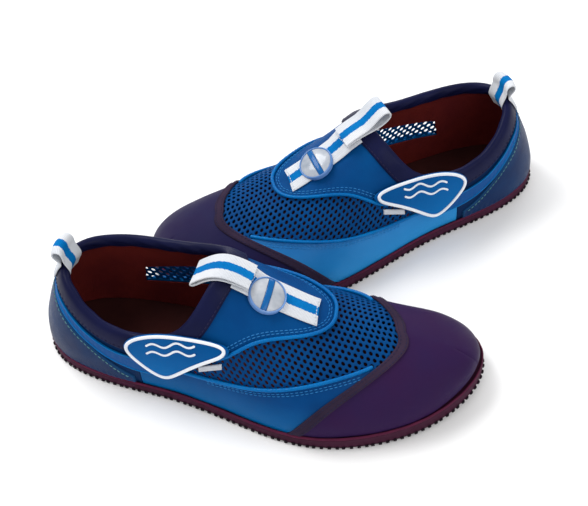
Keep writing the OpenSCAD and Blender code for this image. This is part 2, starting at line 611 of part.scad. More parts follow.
right_shoe() emblem_bar();  // right_emblem_bar
right_shoe() loop_patch();  // right_loop_patch
right_shoe() heel_tab();  // right_heel_tab
right_shoe() front_loop(front_tilt_right);  // right_front_loop
right_shoe() heel_loop();  // right_heel_loop
right_shoe() badge();  // right_badge
right_shoe() badge_border();  // right_badge_border
right_shoe() badge_wave();  // right_badge_wave
left_shoe() outsole();  // left_outsole
left_shoe() sole_rand();  // left_sole_rand
left_shoe() insole();  // left_insole
left_shoe() rear_quarter();  // left_rear_quarter
left_shoe() heel_counter();  // left_heel_counter
left_shoe() heel_lining();  // left_heel_lining
left_shoe() side_panel_outer();  // left_side_panel_outer
left_shoe() side_panel_inner();  // left_side_panel_inner
left_shoe() side_lining();  // left_side_lining
left_shoe() mesh_vent();  // left_mesh_vent
left_shoe() instep_panel();  // left_instep_panel
left_shoe() instep_lining();  // left_instep_lining
left_shoe() toe_cap();  // left_toe_cap
left_shoe() toe_band();  // left_toe_band
left_shoe() collar_binding();  // left_collar_binding
left_shoe() instep_piping();  // left_instep_piping
left_shoe() vent_piping();  // left_vent_piping
left_shoe() side_strap();  // left_side_strap
left_shoe() instep_webbing();  // left_instep_webbing
left_shoe() emblem_bezel();  // left_emblem_bezel
left_shoe() emblem_dome();  // left_emblem_dome
left_shoe() emblem_bar();  // left_emblem_bar
left_shoe() loop_patch();  // left_loop_patch
left_shoe() heel_tab();  // left_heel_tab
left_shoe() front_loop(front_tilt_left);  // left_front_loop
left_shoe() heel_loop();  // left_heel_loop
left_shoe() badge();  // left_badge
left_shoe() badge_border();  // left_badge_border
left_shoe() badge_wave();  // left_badge_wave
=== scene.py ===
import json
import math

import bmesh
import bpy
import numpy as np
from mathutils import Matrix, Vector


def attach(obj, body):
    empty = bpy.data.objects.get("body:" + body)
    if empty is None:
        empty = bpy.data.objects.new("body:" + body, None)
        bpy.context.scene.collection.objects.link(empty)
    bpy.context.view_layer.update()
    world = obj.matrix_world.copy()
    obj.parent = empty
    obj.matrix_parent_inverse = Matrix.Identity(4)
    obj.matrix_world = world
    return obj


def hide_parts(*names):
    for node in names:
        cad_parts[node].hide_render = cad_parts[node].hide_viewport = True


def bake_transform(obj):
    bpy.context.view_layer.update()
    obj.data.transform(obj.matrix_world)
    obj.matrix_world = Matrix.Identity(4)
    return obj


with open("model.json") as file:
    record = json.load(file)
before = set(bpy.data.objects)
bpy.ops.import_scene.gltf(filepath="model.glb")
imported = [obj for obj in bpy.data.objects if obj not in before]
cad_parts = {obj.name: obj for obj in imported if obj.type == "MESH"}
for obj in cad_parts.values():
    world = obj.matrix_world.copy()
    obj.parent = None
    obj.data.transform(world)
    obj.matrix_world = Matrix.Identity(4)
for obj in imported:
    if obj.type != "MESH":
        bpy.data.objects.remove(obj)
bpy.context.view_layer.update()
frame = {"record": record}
record = frame["record"]
MM = 0.001

# ---------------------------------------------------------------- camera
TARGET = Vector((-6.7, 40.6, 0.0)) * MM
ELEVATION, DISTANCE, ROLL, LENS = 45.6, 0.868, 5.6, 74.0
el = math.radians(ELEVATION)
cam_data = bpy.data.cameras.new("camera")
cam_data.lens = LENS
cam_data.sensor_width = 36.0
cam_data.clip_start = 0.05
cam = bpy.data.objects.new("camera", cam_data)
bpy.context.scene.collection.objects.link(cam)
cam.location = TARGET + DISTANCE * Vector((0, -math.cos(el), math.sin(el)))
aim = (TARGET - cam.location).to_track_quat("-Z", "Y").to_matrix()
cam.rotation_euler = (aim @ Matrix.Rotation(math.radians(-ROLL), 3, "Z")).to_euler()
bpy.context.scene.camera = cam

# ---------------------------------------------------------------- the last surface, as in the CAD source
SOLE_EDGE = np.array([[-16, 0, 7], [4, -27, 7], [46, -36, 7], [92, -38, 7], [136, -50, 7], [180, -60, 8],
    [222, -48, 9.5], [256, -27, 12], [280, 14, 14], [266, 46, 12], [225, 40, 9.5], [180, 36, 8],
    [136, 35, 7], [90, 31, 7], [43, 34, 7], [0, 27, 7]], float)
INSTEP = np.array([[52, 0, 114], [50, 0, 115], [59, 0, 115], [93, 0, 105], [131, 0, 83], [168, 0, 64],
    [207, 2, 51], [241, 4, 45], [262, 6, 36]], float)
ROUNDNESS = np.array([[5, 28, 24], [5, 29, 26], [5, 29, 32], [4, 25, 30], [3, 20, 30], [3, 19, 35],
    [3, 16, 33], [3, 13, 26], [4, 9, 15]], float)
RIM = np.array([[0, 0.53], [1, 0.51], [1.9, 0.36], [2.6, 0.37], [3.2, 0.46], [3.6, 0.72], [3.74, 1],
    [3.64, 1.24], [3.25, 1.36], [2.7, 1.47], [1.9, 1.51], [1, 1.5], [0, 1.47]], float)
BINDING_EDGE = np.array([[0, 0.45], [1, 0.43], [1.9, 0.28], [2.6, 0.28], [3.38, 0.4], [3.84, 0.68], [4.02, 1],
    [3.9, 1.28], [3.45, 1.44], [2.7, 1.555], [1.9, 1.59], [1, 1.58], [0, 1.55]], float)
INSTEP_SEAM = np.array([[2.42, 0.3], [2.9, 0.33], [3.4, 0.36], [3.9, 0.43], [4.35, 0.62], [4.85, 0.73],
    [5.24, 0.82], [5.46, 0.92], [5.5, 1.04], [5.34, 1.14], [5, 1.23], [4.5, 1.33], [3.9, 1.46],
    [3.1, 1.6], [1.95, 1.72]], float)
VENT_SEAM = np.array([[2.42, 0.22], [2.9, 0.235], [3.4, 0.255], [3.95, 0.295], [4.65, 0.37], [5.35, 0.53],
    [5.98, 0.66], [6.4, 0.82], [6.6, 1], [6.32, 1.17], [5.88, 1.32], [5.2, 1.47], [4.4, 1.62],
    [3.3, 1.73], [1.95, 1.82]], float)
VENT_OUTER_END, VENT_INNER_START = 6, 10
OUTER_SOLE_SEAM = np.array([[2.42, 0], [2.9, 0], [3.4, 0], [3.9, 0], [4.22, 0], [4.48, 0], [4.7, 0]], float)
INNER_SOLE_SEAM = np.array([[5.34, 2], [4.8, 2], [4.1, 2], [3.1, 2], [1.95, 2]], float)
CAP_EDGE = np.array([[4.82], [5.1], [5.48], [5.98], [6.46], [6.72], [6.32], [5.88], [5.64], [5.5], [5.4]])
COUNTER_EDGE = np.array([[-2.32, 0.08], [-2.1, 0.12], [-1.8, 0.2], [-1.4, 0.28], [-0.9, 0.36], [-0.5, 0.41],
    [0, 0.42], [0.5, 0.41], [0.9, 0.36], [1.4, 0.28], [1.8, 0.2], [2.1, 0.12], [2.32, 0.08]], float)
STRAP_TOP = np.array([[0.3, 0.435], [0.9, 0.41], [1.4, 0.34], [1.9, 0.255], [2.4, 0.24], [2.9, 0.26]], float)
STRAP_FOOT = np.array([[0.3, 0.425], [0.9, 0.38], [1.4, 0.3], [1.9, 0.2], [2.4, 0.15], [2.9, 0.17]], float)
BADGE_EDGE = np.array([[2.12, 0.27], [2.3, 0.34], [2.7, 0.4], [3.2, 0.44], [3.7, 0.48], [4.06, 0.5],
    [4.03, 0.44], [3.7, 0.36], [3.3, 0.25], [3, 0.15], [2.82, 0.11], [2.6, 0.14], [2.34, 0.2]], float)
BADGE_MID = np.array([2.95, 0.32])
QUARTER_OUTER, QUARTER_INNER = 2.43, 1.97
PANEL_T, OVERLAY_T, LINING_T, WEBBING_T, WEBBING_W = 1.4, 1.1, 1.6, 1.2, 20.0
LINING_LOW, LINING_HIGH = -0.4 - LINING_T, -0.4
OVERLAY_LOW = PANEL_T + 0.4
OVERLAY_HIGH = OVERLAY_LOW + OVERLAY_T
BADGE_LOW, BADGE_T = OVERLAY_HIGH + 0.4, 1.8
PIPING_R = 1.2
STRAP_W = 0.96
PANEL_TOP = 0.2


def weights(f):
    """Weights of the four rows round a place on a cubic B-spline, at fraction f of its step."""
    return ((1 - f) ** 3 / 6, (3 * f ** 3 - 6 * f ** 2 + 4) / 6,
            (-3 * f ** 3 + 3 * f ** 2 + 3 * f + 1) / 6, f ** 3 / 6)


def loop_at(rows, t):
    """Point at t on the smooth closed curve that follows the rows."""
    t = np.asarray(t, float)
    i = np.floor(t).astype(int)
    return sum(k[..., None] * rows[(i - 1 + j) % len(rows)] for j, k in enumerate(weights(t - i)))


def spline_at(rows, t, before):
    """Point at t on the smooth open curve that follows the rows, with one more row before the first."""
    t = np.asarray(t, float)
    i = np.clip(np.floor(t).astype(int), 0, len(rows) - 2)
    more = np.vstack([before, rows, 2 * rows[-1] - rows[-2]])
    return sum(k[..., None] * more[i + j] for j, k in enumerate(weights(t - i)))


def path_at(rows, t):
    return spline_at(rows, t, 2 * rows[0] - rows[1])


def level_at(rows, t):
    return spline_at(rows, t, rows[1])


def between(a, b, s):
    s = np.asarray(s, float)
    if np.ndim(a) > s.ndim:
        s = s[..., None]
    return a + (b - a) * s


def unit(v):
    return v / np.maximum(np.linalg.norm(v, axis=-1, keepdims=True), 1e-12)


def sole_out(t):
    d = loop_at(SOLE_EDGE, t + 0.01) - loop_at(SOLE_EDGE, t - 0.01)
    return unit(np.stack([d[..., 1], -d[..., 0], 0 * d[..., 0]], -1))


def last_point(u, w):
    """Point of the last at place [u, w]: u heel 0 to toe 8, w outer edge 0, instep 1, inner edge 2."""
    u, w = np.broadcast_arrays(np.asarray(u, float), np.asarray(w, float))
    flip = (u < 0) | (u > 8)
    u, w = np.where(u < 0, -u, np.where(u > 8, 16 - u, u)), np.where(flip, 2 - w, w)
    side = np.where(w <= 1, u, (16 - u) % 16)
    v = np.where(w <= 1, w, 2 - w)[..., None]
    foot, out, top, r = loop_at(SOLE_EDGE, side), sole_out(side), level_at(INSTEP, u), level_at(ROUNDNESS, u)
    a = np.clip(u, 0.02, 8) - 0.02
    d = level_at(INSTEP, a + 0.02) - level_at(INSTEP, a)
    slope = np.clip((u - 2) / 2, 0, 1) * d[..., 2] / np.maximum(d[..., 0], 0.01)
    low = foot + out * r[..., :1]
    low[..., 2] += r[..., 1]
    high = top + np.stack([out[..., 0], out[..., 1], out[..., 0] * slope], -1) * r[..., 2:]
    return (1 - v) ** 3 * foot + 3 * (1 - v) ** 2 * v * low + 3 * (1 - v) * v * v * high + v ** 3 * top


def last_normal(u, w):
    u, w = np.broadcast_arrays(np.minimum(np.asarray(u, float), 7.96), np.asarray(w, float))
    return unit(np.cross(last_point(u + 0.02, w) - last_point(u - 0.02, w),
                         last_point(u, w + 0.01) - last_point(u, w - 0.01)))


def skin(u, w, h=0.0):
    h = np.asarray(h, float)
    return last_point(u, w) + last_normal(u, w) * (h[..., None] if h.ndim else h)


def surface(u, w):
    """Points and normals of the last at places [u, w]."""
    return last_point(u, w), last_normal(u, w)


def collar_place(t, s):
    return between(path_at(RIM, t), path_at(BINDING_EDGE, t), s)


def rim_table(ts):
    return path_at(RIM, ts)[:, 0], collar_place(ts, np.full(len(ts), PANEL_TOP))[:, 1]


RIM_OUTER = rim_table(np.linspace(0, 3.2, 200))
RIM_INNER = rim_table(np.linspace(12, 8.5, 200))


def rim_w(u):
    return np.where(u >= 0, np.interp(u, *RIM_OUTER), 2 - np.interp(-u, *RIM_INNER))


# ---------------------------------------------------------------- where each shoe stands, from the record
FRONT_HINGE = skin(3.8, STRAP_W, OVERLAY_HIGH + WEBBING_T + 2)
HEEL_HINGE = skin(0.0, 0.53) + np.array([-1.2, 0, 4.4])
SHOE_MID = np.array([140.0, 0, 0])


class Shoe:
    """One shoe: where its own millimetre axes lie in the frame, found from its front loop's hinge."""

    def __init__(self, side):
        joints = {j["name"]: j for j in record["behaviour"]["joints"]}
        hinge = joints[side + "_front_loop_fold"]
        yaw = math.atan2(-hinge["axis"][0], hinge["axis"][1])
        self.side, self.mirror = side, np.array([1.0, -1.0 if side == "left" else 1.0, 1.0])
        cos, sin = math.cos(yaw), math.sin(yaw)
        self.turn = np.array([[cos, -sin, 0], [sin, cos, 0], [0, 0, 1]])
        self.at = np.array(hinge["pos_m"]) / MM - self.turn @ ((FRONT_HINGE - SHOE_MID) * self.mirror)

    def world(self, points):
        p = (np.asarray(points, float) - SHOE_MID) * self.mirror
        return (p @ self.turn.T + self.at) * MM

    def body(self, part="shoe"):
        return f"{self.side}_{part}"


# ---------------------------------------------------------------- mesh makers
def make(shoe, name, verts, faces, mat, slot, body="shoe", replaces=None, mm=None, smooth=50, ride=True,
         merge=0.0):
    """Object from millimetre points in a shoe's own axes; mm is the cloth coordinate that the materials read.

    It replaces the CAD node of its own name, unless replaces lists others or none.
    """
    mesh = bpy.data.meshes.new(f"{shoe.side}_{name}")
    mesh.from_pydata(shoe.world(verts).tolist(), [], [list(map(int, f)) for f in faces])
    if mm is not None:
        att = mesh.attributes.new("mm", "FLOAT_VECTOR", "POINT")
        att.data.foreach_set("vector", np.asarray(mm, np.float32).ravel())
    bm = bmesh.new()
    bm.from_mesh(mesh)
    if merge:
        bmesh.ops.remove_doubles(bm, verts=bm.verts, dist=merge * MM)
    bmesh.ops.recalc_face_normals(bm, faces=bm.faces)
    bm.to_mesh(mesh)
    bm.free()
    mesh.polygons.foreach_set("use_smooth", [True] * len(mesh.polygons))
    mesh.set_sharp_from_angle(angle=math.radians(smooth))
    mesh.update()
    obj = bpy.data.objects.new(f"{shoe.side}_{name}_visual", mesh)
    bpy.context.scene.collection.objects.link(obj)
    mesh.materials.append(mat)
    if ride:
        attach(obj, shoe.body(body))
    replaces = (name,) if replaces is None else replaces
    if replaces:
        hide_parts(*[f"{shoe.side}_{r}" for r in replaces])
    return obj


def shell(top, bottom, wrap=False):
    """Closed shell between two grids of points; wrap joins the last row to the first."""
    n, m = top.shape[:2]
    idx = np.arange(n * m).reshape(n, m)
    big = n * m
    nxt = np.roll(idx, -1, 0) if wrap else idx[1:]
    cur = idx if wrap else idx[:-1]
    a, b, c, d = cur[:, :-1], nxt[:, :-1], nxt[:, 1:], cur[:, 1:]
    quads = [np.stack([a, b, c, d], -1).reshape(-1, 4), np.stack([a, d, c, b], -1).reshape(-1, 4) + big]
    for j, flip in ((0, False), (m - 1, True)):
        q = np.stack([cur[:, j], cur[:, j] + big, nxt[:, j] + big, nxt[:, j]], -1)
        quads.append(q[:, ::-1] if flip else q)
    if not wrap:
        for i, flip in ((0, True), (n - 1, False)):
            q = np.stack([idx[i, :-1], idx[i, :-1] + big, idx[i, 1:] + big, idx[i, 1:]], -1)
            quads.append(q[:, ::-1] if flip else q)
    return np.concatenate([top.reshape(-1, 3), bottom.reshape(-1, 3)]), np.concatenate(quads)


def ring_quads(n, k):
    """Faces of a torus grid of n rings with k points each."""
    idx = np.arange(n * k).reshape(n, k)
    return np.stack([idx, np.roll(idx, -1, 0), np.roll(np.roll(idx, -1, 0), -1, 1), np.roll(idx, -1, 1)],
                    -1).reshape(-1, 4)


def run_lengths(points, axis):
    """Length along a line or grid of points, from 0 at its first point."""
    d = np.linalg.norm(np.diff(points, axis=axis), axis=-1)
    zero = np.zeros_like(np.take(d, [0], axis))
    return np.concatenate([zero, np.cumsum(d, axis)], axis)


def spread(count, length, r):
    """Fractions from 0 to 1 along a length, closer together on the rounded edge r at each end."""
    edge = np.array([0, 0.08, 0.3, 0.65]) * r / length
    return np.concatenate([edge, np.linspace(r / length, 1 - r / length, count), 1 - edge[::-1]])


def ripple(shoe, p):
    """Slow unevenness of a shoe's fabric, the same for every layer."""
    x, y, z = p[..., 0], p[..., 1], p[..., 2]
    phase = PHASE[shoe.side]
    return (0.22 * np.sin(x / 13 + phase) * np.sin(y / 9 + z / 11 + phase)
            + 0.13 * np.sin(x / 6.1 - z / 7.3 + 2 * phase) * np.sin(y / 5.2 + z / 6.7))


def rounded(d, r):
    """From 0 at an edge to 1 at distance r from it, on a quarter circle."""
    return np.sqrt(1 - (1 - np.clip(d / r, 0, 1)) ** 2)


PHASE = {"right": 0.7, "left": 2.1}
PUCKER_PITCH = 4.4  # spacing of the dents along a seam, in millimetres
PUCKER_REACH = 2.2


def panel(shoe, name, place, low, high, nx, ns, mat, slot, r=0.9, pucker=0.16, **kw):
    """Sheet over places place(x, s), x and s from 0 to 1, with rounded edges and stitched-down puckers."""
    line = np.linspace(0, 1, 60)
    lx = run_lengths(last_point(*place(line, 0 * line + 0.5)), 0)[-1]
    ls = max(run_lengths(last_point(*place(0 * line + f, line)), 0)[-1] for f in (0.3, 0.5, 0.7))
    x, s = np.meshgrid(spread(nx, lx, r), spread(ns, ls, r), indexing="ij")
    u, w = place(x, s)
    base, normal = surface(u, w)
    a, b = run_lengths(base, 0), run_lengths(base, 1)
    edge = np.minimum(np.minimum(a, a[-1:] - a), np.minimum(b, b[:, -1:] - b))
    dents = np.sin(2 * np.pi * a / PUCKER_PITCH) * np.exp(-((edge - 2) / PUCKER_REACH) ** 2)
    h = low + (high - low) * (0.3 + 0.7 * rounded(edge, r)) + pucker * dents
    uneven = ripple(shoe, base)
    verts, faces = shell(base + normal * (h + uneven)[..., None], base + normal * (low + uneven)[..., None])
    mm = np.stack([a, b, edge], -1).reshape(-1, 3)
    obj = make(shoe, name, verts, faces, mat, slot, mm=np.concatenate([mm, mm]), **kw)
    return obj


def line_on(shoe, place, n, h):
    """Points and normals along places place(x) at a height, riding on the shoe's unevenness."""
    u, w = place(np.linspace(0, 1, n))
    base, normal = surface(u, w)
    return base + normal * (np.asarray(h) + ripple(shoe, base))[..., None], normal


def resample(points, normals, pitch):
    """The same line with its points about pitch apart."""
    run = run_lengths(points, 0)
    count = max(int(run[-1] / pitch), 2)
    at = np.linspace(0, run[-1], count)
    p, q = (np.stack([np.interp(at, run, arr[:, k]) for k in range(3)], -1) for arr in (points, normals))
    return p, unit(q), at


def tube_mesh(points, normals, radius, sides=10, closed=False, squeeze=1.0):
    """Tube along points, with its height along the normals squeezed."""
    along = np.gradient(points, axis=0) if not closed else np.roll(points, -1, 0) - np.roll(points, 1, 0)
    along = unit(along)
    across = unit(np.cross(normals, along))
    up = np.cross(along, across)
    ang = 2 * np.pi * np.arange(sides) / sides
    radius = np.broadcast_to(np.asarray(radius, float), (len(points),))
    ring = across[:, None] * np.cos(ang)[None, :, None] + up[:, None] * np.sin(ang)[None, :, None] * squeeze
    verts = points[:, None] + ring * radius[:, None, None]
    n = len(points)
    idx = np.arange(n * sides).reshape(n, sides)
    cur, nxt = (idx, np.roll(idx, -1, 0)) if closed else (idx[:-1], idx[1:])
    quads = np.stack([cur, nxt, np.roll(nxt, -1, 1), np.roll(cur, -1, 1)], -1).reshape(-1, 4)
    faces = quads.tolist() + ([] if closed else [idx[0].tolist(), idx[-1][::-1].tolist()])
    run = run_lengths(points, 0)
    mm = np.stack([np.repeat(run, sides), np.tile(ang, n) * np.repeat(radius, sides), np.ones(n * sides)], -1)
    return verts.reshape(-1, 3), faces, mm


def joined(parts):
    """One mesh from several of (points, faces, mm)."""
    verts, faces, mms, base = [], [], [], 0
    for v, f, m in parts:
        verts.append(v)
        mms.append(m)
        faces += [[int(k) + base for k in face] for face in f]
        base += len(v)
    return np.concatenate(verts), faces, np.concatenate(mms)


THINNEST_TUBE = 0.08


def rounded_ends(run, r):
    """Tube radius that closes to a rounded tip at both ends."""
    d = np.minimum(run, run[-1] - run)
    return np.maximum(r * rounded(d, r), THINNEST_TUBE)


def piping(shoe, name, places, h, mat, slot, r=PIPING_R, **kw):
    """Piping along places, which dives under its neighbours at both ends."""
    parts = []
    for place in places:
        x = np.linspace(0, 1, 260)
        p, q = line_on(shoe, place, 260, h - 1.5 * (np.exp(-30 * x) + np.exp(-30 * (1 - x))))
        p, q, run = resample(p, q, 0.9)
        swell = 1 + 0.04 * np.sin(2 * np.pi * run / 3.1)
        parts.append(tube_mesh(p, q, rounded_ends(run, r) * swell, 12))
    v, f, m = joined(parts)
    return make(shoe, name, v, f, mat, slot, mm=m, **kw)


STITCH_STEPS = np.array([-1, -0.6, 0, 0.6, 1.0])
STITCH_LIFT = np.array([-0.5, 0.35, 0.6, 0.35, -0.5])
STITCH_THICK = np.array([0.35, 0.9, 1.0, 0.9, 0.35])


def stitches(shoe, name, lines, mat, slot, pitch, length, width):
    """Rows of thread stitches; lines holds (points, normals) with the points on the fabric."""
    parts = []
    for points, normals in lines:
        p, q, _ = resample(points, normals, pitch)
        along = unit(np.gradient(p, axis=0))
        for k in range(len(p) - 1):
            mid = (p[k] + p[k + 1]) / 2
            pts = mid + along[k] * (STITCH_STEPS * length / 2)[:, None] + q[k] * (STITCH_LIFT * width)[:, None]
            parts.append(tube_mesh(pts, np.repeat(q[k][None], 5, 0), STITCH_THICK * width, 6))
    v, f, m = joined(parts)
    return make(shoe, name, v, f, mat, slot, mm=m, replaces=())


# ---------------------------------------------------------------- materials
def mix_color(nt, fac, a, b):
    """Colour between a and b by fac; each may be a socket or a value."""
    n = nt.nodes.new("ShaderNodeMix")
    n.data_type = "RGBA"
    for key, val in ((0, fac), (6, a), (7, b)):
        if isinstance(val, bpy.types.NodeSocket):
            nt.links.new(val, n.inputs[key])
        else:
            n.inputs[key].default_value = val if key == 0 else (*val[:3], 1)
    return n.outputs[2]


def math_node(nt, op, a, b=None, clamp=False):
    """Math of a and b, each a socket or a number."""
    n = nt.nodes.new("ShaderNodeMath")
    n.operation = op
    n.use_clamp = clamp
    for k, val in enumerate((a, b)):
        if isinstance(val, bpy.types.NodeSocket):
            nt.links.new(val, n.inputs[k])
        elif val is not None:
            n.inputs[k].default_value = val
    return n.outputs[0]


def noise(nt, scale, detail=3.0):
    coord = nt.nodes.new("ShaderNodeTexCoord")
    n = nt.nodes.new("ShaderNodeTexNoise")
    n.inputs["Scale"].default_value = scale
    n.inputs["Detail"].default_value = detail
    n.inputs["Roughness"].default_value = 0.55
    nt.links.new(coord.outputs["Object"], n.inputs["Vector"])
    return n.outputs["Fac"]


def ramp(nt, value, low, high, to_low=0.0, to_high=1.0):
    """Maps low to high onto to_low to to_high."""
    n = nt.nodes.new("ShaderNodeMapRange")
    for key, number in (("From Min", low), ("From Max", high), ("To Min", to_low), ("To Max", to_high)):
        n.inputs[key].default_value = number
    nt.links.new(value, n.inputs["Value"])
    return n.outputs["Result"]


def mm_axes(nt):
    """The cloth coordinate: millimetres along, millimetres across, and millimetres from the edge."""
    att = nt.nodes.new("ShaderNodeAttribute")
    att.attribute_name = "mm"
    sep = nt.nodes.new("ShaderNodeSeparateXYZ")
    nt.links.new(att.outputs["Vector"], sep.inputs[0])
    return sep.outputs


def wave(nt, axis, pitch):
    return math_node(nt, "SINE", math_node(nt, "MULTIPLY", axis, 2 * math.pi / pitch))


def weave_height(nt, kind, pitch):
    """Height of the threads of a plain weave, a knit or a rib; none for a moulded surface."""
    x, y, _ = mm_axes(nt)
    if kind == "plain":
        return math_node(nt, "MULTIPLY", wave(nt, x, pitch), wave(nt, y, pitch))
    if kind == "knit":
        sway = math_node(nt, "MULTIPLY", math_node(nt, "ABSOLUTE", wave(nt, y, 2 * pitch)), pitch * 0.5)
        skew = math_node(nt, "ADD", x, sway)
        return math_node(nt, "MULTIPLY", wave(nt, skew, pitch), math_node(nt, "ADD", 1.2, wave(nt, y, pitch)))
    if kind == "rib":
        return wave(nt, x, pitch)
    return None


def cloth(name, color, shade, rough, kind, pitch=0.8, bump=0.35, coat=0.0, patch=28.0, edge=None, gradient=None,
          grain=900.0):
    """Fabric or moulded surface. Its colour drifts from color to shade, with a weave and a fine grain as bump.

    edge is (millimetres, colour, strength) for a rim of another tone along the edges. gradient is (height where
    it starts, height where it is full, colour, strength), with heights in metres, for a tone that grows towards
    the ground;
    on the side films it is a painted highlight near the sole.
    """
    m = bpy.data.materials.new(name)
    m.use_nodes = True
    nt = m.node_tree
    shader = nt.nodes["Principled BSDF"]
    drift = ramp(nt, noise(nt, patch, 4.0), 0.32, 0.68)
    base = mix_color(nt, drift, color, shade)
    # the colour shifts towards tone lower down; on the side films this is a painted highlight near the sole
    if gradient is not None:
        low, high, tone, strength = gradient
        geo = nt.nodes.new("ShaderNodeTexCoord")
        sep = nt.nodes.new("ShaderNodeSeparateXYZ")
        nt.links.new(geo.outputs["Object"], sep.inputs[0])
        amount = math_node(nt, "MULTIPLY", ramp(nt, sep.outputs[2], low, high), strength)
        base = mix_color(nt, amount, base, tone)
    height = weave_height(nt, kind, pitch)
    speck = noise(nt, grain, 2.0)
    if height is not None:
        thread = ramp(nt, height, -1.0, 1.0)
        # painted shade: the colour darkens in the hollows between the threads, by the weave's height
        dark = tuple(c * 0.72 for c in shade[:3])
        gap_shade = math_node(nt, "MULTIPLY", math_node(nt, "SUBTRACT", 1.0, thread), 0.35)
        base = mix_color(nt, gap_shade, base, dark)
        height = math_node(nt, "ADD", thread, math_node(nt, "MULTIPLY", speck, 0.6))
    else:
        height = speck
    # a rim of another tone along the panel's edges
    if edge is not None:
        reach, tone, strength = edge
        rim = math_node(nt, "SUBTRACT", 1.0, ramp(nt, mm_axes(nt)[2], 0.0, reach), clamp=True)
        base = mix_color(nt, math_node(nt, "MULTIPLY", rim, strength), base, tone)
    nt.links.new(base, shader.inputs["Base Color"])
    dull = ramp(nt, noise(nt, patch * 3), 0.3, 0.7, rough - 0.06, rough + 0.08)
    nt.links.new(dull, shader.inputs["Roughness"])
    b = nt.nodes.new("ShaderNodeBump")
    b.inputs["Strength"].default_value = bump
    b.inputs["Distance"].default_value = 0.0004
    nt.links.new(height, b.inputs["Height"])
    nt.links.new(b.outputs["Normal"], shader.inputs["Normal"])
    shader.inputs["Specular IOR Level"].default_value = 0.05
    if coat:
        shader.inputs["Coat Weight"].default_value = coat
        shader.inputs["Coat Roughness"].default_value = 0.15
    return m


def webbing_material():
    """White tape with one blue stripe: mm.y is the distance from the centre line."""
    m = cloth("striped_webbing", (0.76, 0.77, 0.80), (0.62, 0.65, 0.70), 0.75, "rib", pitch=0.9, bump=0.6)
    nt = m.node_tree
    shader = nt.nodes["Principled BSDF"]
    white = shader.inputs["Base Color"].links[0].from_socket
    y = math_node(nt, "ABSOLUTE", mm_axes(nt)[1])
    ragged = math_node(nt, "MULTIPLY", math_node(nt, "SUBTRACT", noise(nt, 700.0, 2.0), 0.5), 1.6)
    wobble = math_node(nt, "ADD", math_node(nt, "MULTIPLY", wave(nt, mm_axes(nt)[0], 0.9), 0.15), ragged)
    stripe = math_node(nt, "LESS_THAN", math_node(nt, "ADD", y, wobble), 3.1)
    blue = mix_color(nt, ramp(nt, noise(nt, 60.0), 0.3, 0.7), (0.0, 0.13, 0.40), (0.0, 0.17, 0.48))
    nt.links.new(mix_color(nt, stripe, white, blue), shader.inputs["Base Color"])
    return m


def footbed_material():
    """Dark woven cover with a faint ring print at the heel: mm holds x and y along the footbed."""
    m = cloth("footbed_cover", (0.055, 0.014, 0.012), (0.035, 0.010, 0.010), 0.85, "plain", pitch=1.1, bump=0.5)
    nt = m.node_tree
    shader = nt.nodes["Principled BSDF"]
    plain = shader.inputs["Base Color"].links[0].from_socket
    x, y, _ = mm_axes(nt)
    dx = math_node(nt, "SUBTRACT", x, 62.0)
    dy = math_node(nt, "ADD", y, 9.0)
    squares = math_node(nt, "ADD", math_node(nt, "MULTIPLY", dx, dx), math_node(nt, "MULTIPLY", dy, dy))
    r = math_node(nt, "SQRT", squares)
    rings = math_node(nt, "GREATER_THAN", wave(nt, r, 4.2), 0.72)
    inside = math_node(nt, "LESS_THAN", r, 13.0)
    mark = math_node(nt, "MULTIPLY", math_node(nt, "MULTIPLY", rings, inside), 0.5)
    nt.links.new(mix_color(nt, mark, plain, (0.16, 0.075, 0.06)), shader.inputs["Base Color"])
    return m


